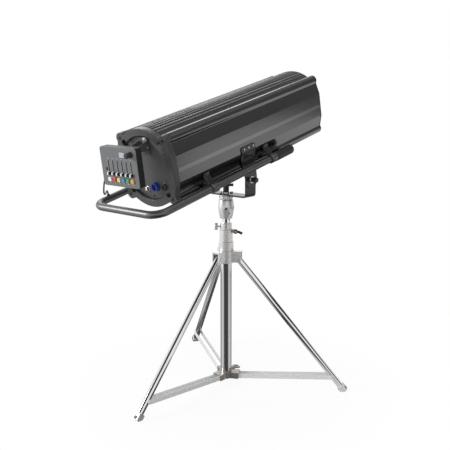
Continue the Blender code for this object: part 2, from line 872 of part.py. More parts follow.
def make_riser():
    """The inner mast tube, with the bush that guides it inside the column, and the swivel on its top."""
    lift = frame("riser_slide", (0, 0, 0), (0, 0, 0), stand)
    bottom = riser_top - riser_length
    inner = riser_radius - riser_wall
    bush = column_radius - column_wall - running_gap
    profile = [
        (0, riser_top),
        (riser_radius, riser_top),
        (riser_radius, bottom + riser_bush_height),
        (bush, bottom + riser_bush_height),
        (bush, bottom),
        (inner, bottom),
        (inner, riser_top - riser_cap_thickness),
        (0, riser_top - riser_cap_thickness),
    ]
    turned("riser_tube", profile, chrome, lift)
    bore = riser_radius + seat_gap
    roof = riser_top + seat_gap
    lower_belly = barrel_bottom + 0.45 * barrel_height
    upper_belly = barrel_bottom + 0.65 * barrel_height
    barrel = [
        (0, roof),
        (bore, roof),
        (bore, barrel_bottom),
        (barrel_foot_radius, barrel_bottom),
        (barrel_foot_radius + 0.003, barrel_bottom + 0.012),
        (barrel_belly_radius - 0.001, lower_belly),
        (barrel_belly_radius, lower_belly + 0.005),
        (barrel_belly_radius, upper_belly),
        (barrel_top_radius, barrel_top - 0.004),
        (barrel_top_radius - 0.002, barrel_top),
        (pan_stud_radius, barrel_top),
        (pan_stud_radius, barrel_top + pan_stud_length),
        (0, barrel_top + pan_stud_length),
    ]
    turned("swivel_barrel", barrel, nickel, lift)
    return lift


def make_yoke(lift):
    """A flat bar bent to a U on a bolted flange, which turns on the swivel's stud."""
    pan = frame("pan_axis", (0, 0, 0), (0, 0, 0), lift)
    bore = pan_stud_radius + running_gap
    flange_top = flange_bottom + flange_height
    low, high = flange_bottom, flange_top
    ring = [(bore, low), (flange_radius, low), (flange_radius, high), (bore, high)]
    flange = turned("pan_flange", ring, black_paint, pan)
    screw_z = flange_bottom + flange_height / 2
    for k in range(flange_screw_count):
        inner, outer = flange_radius - 0.003, flange_radius + flange_screw_height
        head = rod((inner, 0, screw_z), (outer, 0, screw_z), flange_screw_radius, 6)
        place = neck_slit_bearing + (k + 0.5) * 2 * math.pi / flange_screw_count
        join(flange, moved(head, bearing(place)))
    end_radius = yoke_width / 2
    arm_top = tilt_height + end_radius
    w, r = yoke_half_width, yoke_bend
    path = [(w, arm_top)]
    path += arc((w - r, yoke_bottom + r), r, 0, -math.pi / 2, 4)
    path += arc((-w + r, yoke_bottom + r), r, -math.pi / 2, -math.pi, 4)
    path.append((-w, arm_top))
    bar = extruded([strip(path, yoke_thickness)], -end_radius, end_radius, "X")
    yoke = piece("yoke", bar, black_paint, pan)
    outline = [(-end_radius - 0.001, yoke_bottom - 0.01), (end_radius + 0.001, yoke_bottom - 0.01)]
    outline += arc((0, tilt_height), end_radius, 0, math.pi, 12)
    trim(yoke, extruded([outline], -w - 0.01, w + 0.01, "Y"))
    reach = w + 0.02
    cut(yoke, rod((0, -reach, tilt_height), (0, reach, tilt_height), tilt_stud_radius + running_gap, 14))
    cut(yoke, rod((0, 0, yoke_bottom - 0.01), (0, 0, yoke_plate_top + 0.01), bore))
    for k in range(4):
        place = Matrix.Translation((yoke_bolt_circle, 0, 0))
        bolt_top = yoke_plate_top + yoke_bolt_height
        head = rod((0, 0, yoke_bottom + 0.002), (0, 0, bolt_top), yoke_bolt_radius, 6)
        join(yoke, moved(head, bearing(lever_bearing + k * math.pi / 2) @ place))
    make_pan_knob(pan)
    return pan


def make_pan_knob(pan):
    """The pan lock: a post on the swivel's stud with a short clamping arm."""
    base = yoke_plate_top + running_gap
    top = base + pan_knob_height
    stud_top = barrel_top + pan_stud_length
    knob = piece("pan_lock_knob", rod((0, 0, base), (0, 0, top), pan_knob_radius), black_plastic, pan)
    half = pan_arm_width / 2
    arm = block((0, -half, top - pan_arm_height - 0.001), (pan_arm_reach, half, top - 0.001))
    turn = bearing(pan_arm_bearing)
    join(knob, moved(arm, turn))
    bolt_z = top - 0.001 - pan_arm_height / 2
    bolt_x = pan_arm_reach - 0.005
    bolt = rod((bolt_x, 0, bolt_z), (bolt_x, -half - 0.003, bolt_z), 0.0035, 12)
    join(knob, moved(bolt, turn))
    cut(knob, rod((0, 0, base - 0.01), (0, 0, stud_top + running_gap), pan_stud_radius + running_gap))


def make_tilt_knob(name, side, pan):
    """A clamping knob with its washer and nut, through the yoke's arm and the pivot plate."""
    axis = frame(f"{name}_axis", (0, 0, tilt_height), (0, 0, 0), pan)
    nut_end = yoke_half_width - yoke_thickness - running_gap
    washer = plate_y + plate_thickness + running_gap
    knob = washer + tilt_washer_height
    end = knob + tilt_knob_length
    chamfer = 0.002
    profile = [
        (0, nut_end - tilt_nut_height),
        (tilt_nut_radius, nut_end - tilt_nut_height),
        (tilt_nut_radius, nut_end),
        (tilt_stud_radius, nut_end),
        (tilt_stud_radius, washer),
        (tilt_washer_radius, washer),
        (tilt_washer_radius, knob),
        (tilt_knob_radius, knob),
        (tilt_knob_radius, end - chamfer),
        (tilt_knob_radius - chamfer, end),
        (0, end),
    ]
    lay = Matrix.Rotation(-side * math.pi / 2, 4, "X")
    turned(name, profile, black_plastic, axis, lay, 12)


def quarter_outline():
    """The housing's outer edge over one quarter, from its top centre to the middle of a side."""
    dome_angle = math.asin(core_half_width / core_radius)
    dome = arc((0, 0), core_radius, math.pi / 2, math.pi / 2 - dome_angle, 6)
    return dome + lobe_path() + [(side_y, side_z)]


def lobe_path():
    """Round the corner lobe from the valley beside the dome to the waist above the side's face."""
    lobe = arc((lobe_y, lobe_z), lobe_radius, math.radians(145), math.radians(-35), 7)
    return lobe + [(waist_y, waist_z)]


def housing_outline():
    quarter = quarter_outline()
    right = quarter + [(y, -z) for y, z in reversed(quarter[1:])]
    left = [(-y, z) for y, z in reversed(right)]
    return right + [(0, -core_radius)] + left[:-1]


def opening_outline():
    """The rear opening: arched above and below, straight at the sides, with a notch in each corner."""
    half = math.acos(bezel_opening_half_width / bezel_opening_radius)
    top = arc((0, 0), bezel_opening_radius, half, math.pi - half, 10)
    return top + [(-y, -z) for y, z in top]


def side_path():
    """The outer face of a side shell, from the lip under the top cover round to the one underneath."""
    lip = core_radius - shell_wall - seat_gap
    far = core_half_width
    near = far - lip_width
    start = [(near, math.sqrt(lip**2 - near**2)), (far, math.sqrt(lip**2 - far**2))]
    upper = start + lobe_path() + [(side_y, side_z)]
    return upper + [(y, -z) for y, z in reversed(upper)]


def make_housing(head):
    """Four extrusions between two end castings."""
    inside = strip(side_path(), shell_wall)
    piece("side_shell_left", extruded([inside], shell_back, shell_front), black_paint, head)
    mirrored = [(-y, z) for y, z in reversed(inside)]
    piece("side_shell_right", extruded([mirrored], shell_back, shell_front), black_paint, head)
    make_cover("top_cover", 1, rib_count, vent_rows, vent_columns, head)
    make_cover("bottom_cover", -1, 0, belly_vent_rows, belly_vent_columns, head)


def make_cover(name, side, ribs, rows, columns, head):
    """A curved cover, ribbed along its length or plain, with vent slots near the lamp."""
    edge = core_half_width - seat_gap
    span = math.asin(edge / core_radius)
    outer = []
    if ribs:
        pitch = 2 * span / ribs
        for k in range(ribs):
            start = math.pi / 2 + span - k * pitch
            outer += [
                (core_radius, start),
                (core_radius, start - 0.62 * pitch),
                (core_radius - rib_depth, start - 0.70 * pitch),
                (core_radius - rib_depth, start - 0.92 * pitch),
            ]
        outer.append((core_radius, math.pi / 2 - span))
    else:
        outer = [(core_radius, math.pi / 2 + span - 2 * span * k / 16) for k in range(17)]
    inner = core_radius - shell_wall
    loop = [(r * math.cos(a), r * math.sin(a)) for r, a in outer]
    loop += arc((0, 0), inner, math.pi / 2 - span, math.pi / 2 + span, 16)
    loop = [(y, side * z) for y, z in loop]
    cover = piece(name, extruded([loop], shell_back, shell_front), black_paint, head)
    slots = []
    slot_pitch = (vent_back - vent_front) / columns
    row_pitch = 2 * vent_half_width / rows
    for row in range(rows):
        y = -vent_half_width + (row + 0.5) * row_pitch
        for column in range(columns):
            start = -vent_back + column * slot_pitch
            low = (start, y - vent_slot_width / 2, core_radius - 0.03)
            high = (start + slot_pitch - vent_bridge, y + vent_slot_width / 2, core_radius + 0.01)
            slots.append(block(low, high))
    cutter = together(slots)
    if side < 0:
        cutter = moved(cutter, Matrix.Rotation(math.pi, 4, "X"))
    cut(cover, cutter)


def make_end_castings(head):
    """The rear bezel with its recessed panel, and the front bezel round the lens."""
    outline = housing_outline()
    back = -housing_back
    bezel = piece("rear_bezel", extruded([outline], back, back + rear_bezel_depth), grey_casting, head)
    opening = extruded([opening_outline()], back - 0.01, back + rear_bezel_depth + 0.01)
    cut(bezel, opening)
    notch_end = back + rear_panel_recess - seat_gap
    for y in (-1, 1):
        for z in (-1, 1):
            place = (y * bezel_notch_place, z * bezel_notch_place)
            cut(bezel, rod((back - 0.01, *place), (notch_end, *place), bezel_notch_radius, 12))
    shrink = 1 - seat_gap / bezel_opening_half_width
    inner = [(y * shrink, z * shrink) for y, z in opening_outline()]
    panel = extruded([inner], panel_back, panel_back + rear_panel_thickness)
    panel = piece("rear_panel", panel, grey_casting, head)
    y, z = socket_place
    join(panel, rod((panel_back + 0.001, y, z), (panel_back - socket_length, y, z), socket_radius))
    cut(panel, rod((panel_back - 0.002, y, z), (panel_back - 0.02, y, z), socket_radius - 0.003))
    y, z = fuse_place
    fuse_end = (panel_back - fuse_length, y, z)
    join(panel, rod((panel_back + 0.001, y, z), fuse_end, fuse_radius, 16, fuse_radius - 0.001))
    y, z = inlet_place
    near = panel_back - seat_gap
    far = near - inlet_length
    inlet = piece("power_inlet", rod((near, y, z), (far, y, z), inlet_radius), blue_plastic, head)
    cut(inlet, rod((far + inlet_recess_depth, y, z), (far - 0.01, y, z), inlet_recess_radius, 20))
    front = housing_front - front_bezel_depth
    face = piece("front_bezel", extruded([outline], front, housing_front), black_paint, head)
    hood_radius = front_opening_radius + hood_wall
    join(face, rod((front + 0.002, 0, 0), (housing_front + hood_depth, 0, 0), hood_radius, 24))
    cut(face, rod((front - 0.01, 0, 0), (housing_front + 0.02, 0, 0), front_opening_radius, 24))


def lens_profile(radius, edge, sagitta, middle):
    """A lens convex on both faces, as a profile of radius and place along its axis."""
    bend = (radius**2 + sagitta**2) / (2 * sagitta)
    half = math.asin(radius / bend)
    steps = 2
    front = []
    for k in range(steps + 1):
        angle = half * k / steps
        place = edge / 2 + sagitta - bend * (1 - math.cos(angle))
        front.append((bend * math.sin(angle), place))
    front[-1] = (radius, edge / 2)
    back = [(r, -x) for r, x in reversed(front)]
    return [(r, middle + x) for r, x in front + back]


def make_optics(head):
    """Light engine, fan, colour wheel and lenses on one chassis inside the housing."""
    floor = -chassis_drop
    top = floor + chassis_thickness / 2
    low = (shell_back, -chassis_half_width, floor - chassis_thickness / 2)
    chassis = piece("optics_chassis", block(low, (shell_front, chassis_half_width, top)), aluminium, head)
    for side in (-1, 1):
        y = side * rail_y
        low = (-rail_back, y - rail_width / 2, top - 0.001)
        join(chassis, block(low, (rail_front, y + rail_width / 2, top + rail_height)))
    gate_end = gate_place + gate_thickness
    gate = block((gate_place, -chassis_half_width, top - 0.001), (gate_end, chassis_half_width, gate_top))
    join(chassis, gate)
    cut(chassis, rod((gate_place - 0.01, 0, 0), (gate_end + 0.01, 0, 0), gate_aperture))
    shaft_hole = wheel_shaft_radius + running_gap
    y = wheel_axis_y
    cut(chassis, rod((gate_place - 0.01, y, 0), (gate_end + 0.01, y, 0), shaft_hole, 10))
    make_engine(head, top)
    make_colour_wheel(head, gate_place)
    make_carriage("zoom_lens", zoom_place, top, head)
    make_carriage("focus_lens", focus_place, top, head)
    bulge = front_lens_sagitta * (1 - (front_opening_radius / front_lens_radius) ** 2)
    middle = shell_front - front_lens_edge / 2 - bulge
    profile = lens_profile(front_lens_radius, front_lens_edge, front_lens_sagitta, middle)
    turned("front_lens", profile, glass, head, ACROSS_X, 24)


def make_engine(head, floor):
    """The heat sink with the lamp board on its front, and the fan on its back."""
    back, front = -engine_back, -engine_front
    low = (back, -engine_half_width, floor + seat_gap)
    engine = piece("light_engine", block(low, (front, engine_half_width, engine_top)), aluminium, head)
    pitch = 2 * engine_half_width / engine_fin_count
    slots = []
    for k in range(engine_fin_count):
        y = -engine_half_width + (k + 0.5) * pitch
        if abs(y) < fan_shaft_radius + 0.006:
            continue
        half = engine_fin_gap / 2
        low = (back - 0.01, y - half, floor + 0.012)
        slots.append(block(low, (back + engine_fin_depth, y + half, engine_top + 0.01)))
    cut(engine, together(slots))
    join(engine, rod((front - 0.002, 0, 0), (front + 0.012, 0, 0), gate_aperture))
    shaft_hole = fan_shaft_radius + running_gap
    cut(engine, rod((back - 0.01, 0, 0), (back + fan_shaft_length, 0, 0), shaft_hole, 10))
    spin = frame("fan_axis", (0, 0, 0), (0, 0, 0), head)
    near = back - fan_gap
    hub = rod((near, 0, 0), (near - fan_depth, 0, 0), fan_hub_radius)
    fan = piece("cooling_fan", hub, black_plastic, spin)
    join(fan, rod((near - 0.001, 0, 0), (back + fan_shaft_length - 0.001, 0, 0), fan_shaft_radius, 8))
    lean = Matrix.Rotation(math.radians(35), 4, "Z")
    half = fan_blade_thickness / 2
    centre = Matrix.Translation((near - fan_depth / 2, 0, 0))
    for k in range(fan_blade_count):
        chord = fan_depth * 0.42
        blade = block((-chord, -half, fan_hub_radius - 0.003), (chord, half, fan_radius))
        turn = Matrix.Rotation(2 * math.pi * k / fan_blade_count, 4, "X")
        join(fan, moved(blade, centre @ turn @ lean))


def make_colour_wheel(head, gate):
    """A disc of colour filters that turns on a shaft through the gate plate."""
    spin = frame("colour_wheel_axis", (0, wheel_axis_y, 0), (0, 0, 0), head)
    near = gate - wheel_stand_off
    far = near - wheel_thickness
    wheel = piece("colour_wheel", rod((near, 0, 0), (far, 0, 0), wheel_radius, 16), aluminium, spin)
    holes = []
    for k in range(wheel_filter_count - 1):
        y = -wheel_filter_circle
        hole = rod((near + 0.01, y, 0), (far - 0.01, y, 0), wheel_filter_radius, 6)
        holes.append(moved(hole, Matrix.Rotation(2 * math.pi * k / wheel_filter_count, 4, "X")))
    cut(wheel, together(holes))
    end = gate + gate_thickness + 0.006
    join(wheel, rod((near - 0.001, 0, 0), (end, 0, 0), wheel_shaft_radius, 8))
    join(wheel, rod((near - 0.001, 0, 0), (gate - running_gap, 0, 0), 2 * wheel_shaft_radius, 8))


def make_carriage(name, place, floor, head):
    """A lens in its ring on a saddle that slides along the chassis rails."""
    slide = frame(f"{name}_slide", (place, 0, 0), (0, 0, 0), head)
    ring = lens_radius + lens_ring_wall
    profile = lens_profile(lens_radius - 0.001, lens_edge, lens_sagitta, 0)
    half = lens_ring_depth / 2
    rim = [(lens_radius - 0.002, -half), (ring, -half), (ring, half), (lens_radius - 0.002, half)]
    carriage = turned(name, rim, aluminium, slide, ACROSS_X, 12)
    lens = turned(f"{name}_glass", profile, glass, slide, ACROSS_X, 12)
    parts.objects.unlink(lens)
    cutters.objects.link(lens)
    lens.hide_render = True
    lens.display_type = "WIRE"
    boolean(carriage, lens, "UNION")
    rail_top = floor + rail_height
    wide = rail_y + rail_width / 2 + 0.006
    saddle_bottom = floor + saddle_clear
    saddle_top = -lens_radius - lens_ring_wall / 2
    depth = half - lens_ring_wall / 3
    join(carriage, block((-depth, -wide, saddle_bottom), (depth, wide, saddle_top)))
    grooves = []
    for side in (-1, 1):
        y = side * rail_y
        g = rail_width / 2 + running_gap
        low = (-half - 0.01, y - g, saddle_bottom - 0.01)
        grooves.append(block(low, (half + 0.01, y + g, rail_top + running_gap)))
    cut(carriage, together(grooves))


def make_pivot_plate(name, side, head):
    """A bent, drilled plate on the housing's side that reaches down to the tilt axis."""
    face = side_y + seat_gap
    slope = (side_y - waist_y) / (waist_z - side_z)
    bend_z = -side_z - (face - plate_y) / slope
    bottom = -housing_axis_rise - plate_end_radius
    outer = [
        (plate_y + plate_thickness, bottom),
        (plate_y + plate_thickness, bend_z),
        (face + plate_thickness, -side_z),
        (face + plate_thickness, -side_z + plate_top_rise),
    ]
    path = [(y, z) for y, z in reversed(outer)]
    sheet = strip(path, plate_thickness)
    sheet = [(side * y, z) for y, z in sheet]
    plate = piece(name, extruded([sheet], -plate_back, plate_front), black_paint, head)
    middle = (plate_front - plate_back) / 2
    c = plate_corner
    top = -side_z + plate_top_rise
    outline = arc((plate_front - c, top - c), c, 0, math.pi / 2, 4)
    outline += arc((-plate_back + c, top - c), c, math.pi / 2, math.pi, 4)
    outline.append((-plate_back, bend_z))
    outline += arc((0, -housing_axis_rise), plate_end_radius, math.radians(190), math.radians(350), 12)
    outline.append((plate_front, bend_z))
    reach = side * (face + 0.02)
    start = side * (plate_y - 0.02)
    trim(plate, extruded([outline], min(start, reach), max(start, reach), "Y"))
    drop = -housing_axis_rise
    cut(plate, rod((0, start, drop), (0, reach, drop), tilt_stud_radius + running_gap, 14))
    holes = []
    lower_z = (bend_z - side_z) / 2 - 0.016
    for k in (-1, 0, 1):
        x = k * plate_hole_pitch
        upper_z = -side_z + plate_top_rise / 2
        holes.append(rod((x, start, upper_z), (x, reach, upper_z), plate_hole_radius, 8))
        x = middle + k * plate_hole_pitch * 0.9
        holes.append(rod((x, start, lower_z), (x, reach, lower_z), plate_hole_radius - 0.0005, 6))
    cut(plate, together(holes))


def make_handle(head):
    """A bent tube round the back of the head, welded to four straps on the housing's lower slopes."""
    drop = handle_rise - housing_axis_rise
    y, r = handle_half_width, handle_bend
    back = -handle_back
    route = [(handle_front, -y)]
    route += arc((back + r, -y + r), r, -math.pi / 2, -math.pi, 6)
    route += arc((back + r, y - r), r, math.pi, math.pi / 2, 6)
    route.append((handle_front, y))
    points = [(x, v, drop) for x, v in route]
    frame_tube = piece("handle_frame", solidified(tube(points, handle_radius)), black_paint, head)
    for place in tab_places:
        for side in (-1, 1):
            low, high = place - tab_length / 2 - 0.002, place + tab_length / 2 + 0.002
            join(frame_tube, rod((low, side * y, drop), (high, side * y, drop), tab_ring_radius, 10))
            join(frame_tube, tab_mesh(place, side, drop))
    grommet_top = drop + handle_radius + grommet_rise
    join(frame_tube, rod((-grommet_place, y, drop), (-grommet_place, y, grommet_top), grommet_radius, 10))
    for name, side in (("handle_grip_left", 1), ("handle_grip_right", -1)):
        make_grip(name, side * y, drop, head)
    return Vector((-grommet_place, y, grommet_top + seat_gap))


def tab_mesh(place, side, drop):
    """One strap: a flange on the housing's lower slope and a web out to the tube."""
    slope = Vector((waist_y - side_y, side_z - waist_z)).normalized()
    normal = Vector((-slope.y, slope.x))
    root = Vector((side_y, -side_z))
    run = Vector((waist_y - side_y, side_z - waist_z)).length
    first = root + slope * run * 0.12 + normal * seat_gap
    last = root + slope * run * 0.80 + normal * seat_gap
    centre = Vector((handle_half_width, drop))
    web = (centre - (first + last) / 2).normalized()
    centre -= web * handle_radius * 0.37
    across = Vector((-web.y, web.x)) * tab_strap / 2
    mid = (first + last) / 2 + normal * tab_thickness
    outline = [
        first,
        last,
        last + normal * tab_thickness,
        mid - across,
        centre - across,
        centre + across,
        mid + across,
        first + normal * tab_thickness,
    ]
    loop = [(side * p.x, p.y) for p in outline]
    return extruded([loop], place - tab_length / 2, place + tab_length / 2)


def make_grip(name, y, z, head):
    """A moulded grip over the end of the handle tube."""
    bore = handle_radius + seat_gap
    end = handle_front + seat_gap + grip_wall_end
    start = end - grip_length
    nose = 0.008
    profile = [
        (bore, start),
        (grip_radius - 0.002, start),
        (grip_radius, start + 0.004),
        (grip_radius, end - nose),
        (grip_radius - 0.0025, end - 0.0025),
        (grip_radius - nose, end),
        (0, end),
        (0, handle_front + seat_gap),
        (bore, handle_front + seat_gap),
    ]
    ordered = profile[7:] + profile[:7]
    turned(name, ordered, rubber, head, Matrix.Translation((0, y, z)) @ ACROSS_X, 16)


def make_console(head):
    """The control box on its hinge: a bracket on the rear panel, a tray, a panel and its controls."""
    rise = hinge_rise - housing_axis_rise
    base_face = panel_back - seat_gap
    half = hinge_base_height / 2
    low = (base_face - hinge_base_thickness, -hinge_base_half_width, rise - half)
    base = block(low, (base_face, hinge_base_half_width, rise + half))
    bracket = piece("console_hinge", base, black_paint, head)
    ear = [(base_face - 0.002, rise + 0.018), (-hinge_back, rise + hinge_ear_radius)]
    ear += arc((-hinge_back, rise), hinge_ear_radius, math.pi / 2, 3 * math.pi / 2, 6)[1:]
    ear.append((base_face - 0.002, rise - 0.018))
    for side in (-1, 1):
        start = side * hinge_ear_y
        end = side * (hinge_ear_y + hinge_ear_thickness)
        join(bracket, extruded([ear], min(start, end), max(start, end), "Y"))
    reach = hinge_ear_y + hinge_ear_thickness + pin_head_height
    join(bracket, rod((-hinge_back, -reach, rise), (-hinge_back, reach, rise), hinge_pin_radius, 12))
    for side in (-1, 1):
        start = side * (reach - pin_head_height - 0.001)
        end = (-hinge_back, side * reach, rise)
        join(bracket, rod((-hinge_back, start, rise), end, pin_head_radius, 6))
    console = frame("console_axis", (-hinge_back, 0, rise), (0, console_lean, 0), head)
    face = -console_reach
    box_back = face + console_panel_thickness + seat_gap
    box_front = box_back + console_depth
    centre = (0, -console_drop)
    outer = rounded(console_width, console_height, console_corner, centre)
    box = piece("console_box", extruded([outer], box_back, box_front), console_grey, console)
    wall = 2 * console_wall
    inner = rounded(console_width - wall, console_height - wall, console_corner - console_wall, centre)
    cut(box, extruded([inner], box_back - 0.01, box_front - console_wall))
    tongue_half = hinge_ear_y - running_gap
    tongue = [(box_front - 0.001, -tongue_height / 2), (0, -tongue_height / 2)]
    tongue += arc((0, 0), tongue_height / 2, -math.pi / 2, math.pi / 2, 8)[1:]
    tongue.append((box_front - 0.001, tongue_height / 2))
    join(box, extruded([tongue], -tongue_half, tongue_half, "Y"))
    cut(box, rod((0, -0.05, 0), (0, 0.05, 0), hinge_pin_radius + running_gap, 12))
    side = console_width / 2
    depth = (box_back + box_front) / 2
    gland_z = -console_drop - console_height / 2 + gland_rise
    gland_end = side + gland_length
    gland_tip = gland_radius - 0.0012
    gland_root = (depth, side - 0.001, gland_z)
    join(box, rod(gland_root, (depth, gland_end, gland_z), gland_radius, 12, gland_tip))
    make_console_panel(console, face, outer)
    return console.matrix_basis @ Vector((depth, gland_end + seat_gap, gland_z))


def control_y(number):
    """Places across the panel, counted from its left edge as the operator sees it."""
    return console_width / 2 - control_first - number * control_pitch


def panel_z(down):
    """Heights on the panel, counted down from its top edge."""
    return console_height / 2 - console_drop - down


def make_console_panel(console, face, outer):
    inside = face + console_panel_thickness
    holes = []
    for k in range(control_count):
        y = control_y(k)
        middle = panel_z(slot_top + slot_length / 2)
        holes.append(rounded(slot_width, slot_length, slot_width / 2 - 0.0002, (y, middle), 1))
        width, height = button_width + 2 * running_gap, button_height + 2 * running_gap
        holes.append(rounded(width, height, 0.001, (y, panel_z(button_row)), 1))
    encoder_y = console_width / 2 - encoder_place[0]
    encoder_z = panel_z(encoder_place[1])
    holes.append(circle((encoder_y, encoder_z), encoder_shaft_radius + running_gap, 12))
    piece("console_panel", extruded([outer] + holes, face, inside), console_grey, console)
    for k in range(control_count):
        make_fader(k + 1, control_y(k), face, console)
        make_button(k + 1, control_y(k), face, inside, console)
    axis = frame("encoder_axis", (0, encoder_y, encoder_z), (0, 0, 0), console)
    near = face - running_gap
    end = near - encoder_length
    profile = [
        (0, inside + 0.008),
        (encoder_shaft_radius, inside + 0.008),
        (encoder_shaft_radius, near),
        (encoder_skirt, near),
        (encoder_skirt, near - 0.003),
        (encoder_radius, near - 0.004),
        (encoder_radius - 0.0005, end + 0.001),
        (encoder_radius - 0.0015, end),
        (0, end),
    ]
    turned("encoder_knob", profile, black_plastic, axis, ACROSS_X, 12)


def make_fader(number, y, face, console):
    """A tapered fader cap with a finger groove, on a stem through its slot."""
    slide = frame(f"fader_{number}_slide", (0, y, panel_z(fader_rest)), (0, 0, 0), console)
    base = face - running_gap
    h, rise = fader_cap_height / 2, fader_cap_rise
    cap = [
        (base, -h),
        (base, h),
        (base - rise, h - 0.0025),
        (base - rise, 0.0012),
        (base - rise + 0.001, 0),
        (base - rise, -0.0012),
        (base - rise, -h + 0.0025),
    ]
    half = fader_cap_width / 2
    fader = piece(f"fader_{number}", extruded([cap], -half, half, "Y"), black_plastic, slide)
    stem = slot_width / 2 - running_gap
    stem_end = face + console_panel_thickness + fader_stem_depth
    join(fader, block((base - 0.001, -stem, -h / 2), (stem_end, stem, h / 2)))


def make_button(number, y, face, inside, console):
    """A square push button held under the panel by its flange."""
    travel = frame(f"button_{number}_travel", (0, y, panel_z(button_row)), (0, 0, 0), console)
    under = inside + running_gap
    flange_end = under + button_flange_depth
    top = rounded(button_width, button_height, 0.001, (0, 0), 1)
    cap = extruded([top], face - button_rise, flange_end)
    button = piece(f"button_{number}", cap, button_finishes[number - 1], travel)
    width, height = button_width + 2 * button_flange, button_height + 2 * button_flange
    join(button, extruded([rounded(width, height, 0.001, (0, 0), 1)], under, flange_end))


def make_cable(head, start, end):
    """The console's cord: out of its gland, down in a slack bow and into the handle's grommet."""
    route = [start + Vector(step) for step in cable_leaves]
    route += [end + Vector(step) for step in cable_arrives]
    points = []
    for k in range(len(route) - 1):
        before = route[max(k - 1, 0)]
        after = route[min(k + 2, len(route) - 1)]
        for step in range(cable_steps):
            points.append(smooth_point(before, route[k], route[k + 1], after, step / cable_steps))
    points.append(route[-1])
    cable = bpy.data.objects.new("console_cable", tube(points, cable_radius, 2))
    cable.parent = head
    cable.data.materials.append(black_plastic)
    parts.objects.link(cable)


def smooth_point(before, start, end, after, t):
    """A point on the smooth curve that passes through the route's own points."""
    straight = (-before + 3 * start - 3 * end + after) * t**3
    bowed = (2 * before - 5 * start + 4 * end - after) * t**2
    return (straight + bowed + (after - before) * t + 2 * start) / 2


def centre_on_origin():
    """Move the stand so that the whole model's box is centred over the origin, its feet on the floor."""
    bpy.context.view_layer.update()
    graph = bpy.context.evaluated_depsgraph_get()
    places = []
    for made in parts.objects:
        if made.type == "MESH":
            solid = made.evaluated_get(graph)
            places += [solid.matrix_world @ vertex.co for vertex in solid.to_mesh().vertices]
            solid.to_mesh_clear()
    for axis in (0, 1):
        along = [place[axis] for place in places]
        stand.location[axis] -= (min(along) + max(along)) / 2


make_column()
make_leg_hub()
for number, angle in enumerate(bearings, 1):
    make_leg(number, angle)
spreader = make_spreader()
for number, angle in enumerate(bearings, 1):
    make_brace(number, angle, spreader)
make_mast_sleeve()
riser = make_riser()
pan_frame = make_yoke(riser)
make_tilt_knob("tilt_knob_left", 1, pan_frame)
make_tilt_knob("tilt_knob_right", -1, pan_frame)
tilt = frame("tilt_axis", (0, 0, tilt_height), (0, -head_pitch, 0), pan_frame)
head_frame = frame("housing_axis", (0, 0, housing_axis_rise), (0, 0, 0), tilt)
make_housing(head_frame)
make_end_castings(head_frame)
make_optics(head_frame)
make_pivot_plate("pivot_plate_left", 1, head_frame)
make_pivot_plate("pivot_plate_right", -1, head_frame)
grommet_end = make_handle(head_frame)
gland_end = make_console(head_frame)
make_cable(head_frame, gland_end, grommet_end)
centre_on_origin()
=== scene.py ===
import json
import math

import bmesh
import bpy
from mathutils import Matrix, Vector

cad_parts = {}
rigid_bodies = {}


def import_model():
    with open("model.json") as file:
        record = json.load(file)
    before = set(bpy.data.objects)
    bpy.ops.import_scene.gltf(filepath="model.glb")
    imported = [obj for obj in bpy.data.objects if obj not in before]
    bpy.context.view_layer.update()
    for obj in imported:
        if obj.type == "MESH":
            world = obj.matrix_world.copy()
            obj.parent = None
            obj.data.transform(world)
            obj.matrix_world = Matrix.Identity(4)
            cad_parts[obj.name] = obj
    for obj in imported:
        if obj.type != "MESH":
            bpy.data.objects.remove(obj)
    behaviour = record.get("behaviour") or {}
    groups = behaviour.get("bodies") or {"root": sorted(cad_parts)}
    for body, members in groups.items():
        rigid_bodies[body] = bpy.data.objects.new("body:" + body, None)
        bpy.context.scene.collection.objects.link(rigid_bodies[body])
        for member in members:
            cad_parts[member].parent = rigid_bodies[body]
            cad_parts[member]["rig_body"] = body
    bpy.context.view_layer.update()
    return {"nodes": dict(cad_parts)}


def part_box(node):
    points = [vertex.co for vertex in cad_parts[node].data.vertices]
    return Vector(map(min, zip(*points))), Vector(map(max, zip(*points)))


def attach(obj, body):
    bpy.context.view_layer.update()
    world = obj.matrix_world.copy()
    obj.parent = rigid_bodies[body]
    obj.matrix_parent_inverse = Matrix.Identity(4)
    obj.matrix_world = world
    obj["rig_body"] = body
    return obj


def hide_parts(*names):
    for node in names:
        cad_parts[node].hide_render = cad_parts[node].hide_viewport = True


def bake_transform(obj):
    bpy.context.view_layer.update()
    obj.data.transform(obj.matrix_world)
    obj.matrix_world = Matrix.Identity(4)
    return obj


for old in list(bpy.data.objects):
    bpy.data.objects.remove(old)
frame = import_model()

# The camera stands behind the lamp and to its right, a little above its middle, and looks at the mast.
# Its lens and distance are the photograph's, for a square picture.
photo_width = 450
photo_focal = 700.26
view_bearing = math.radians(-49.49)
view_rise = math.radians(11.41)
view_distance = 2.75047
view_height = 0.65033
view_shift = -0.00426
mast_low, mast_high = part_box("column_tube")
mast = Vector(((mast_low.x + mast_high.x) / 2, (mast_low.y + mast_high.y) / 2, 0))
up = Vector((0, 0, 1))
view_right = Vector((math.cos(view_bearing), math.sin(view_bearing), 0))
view_level = Vector((math.sin(view_bearing), -math.cos(view_bearing), 0))
view_back = view_level * math.cos(view_rise) + up * math.sin(view_rise)
camera_data = bpy.data.cameras.new("photo_camera")
camera_data.sensor_width = 36
camera_data.lens = camera_data.sensor_width * photo_focal / photo_width
scene = bpy.context.scene


def placed(name, data):
    """An object with this data, put into the scene."""
    made = bpy.data.objects.new(name, data)
    scene.collection.objects.link(made)
    return made


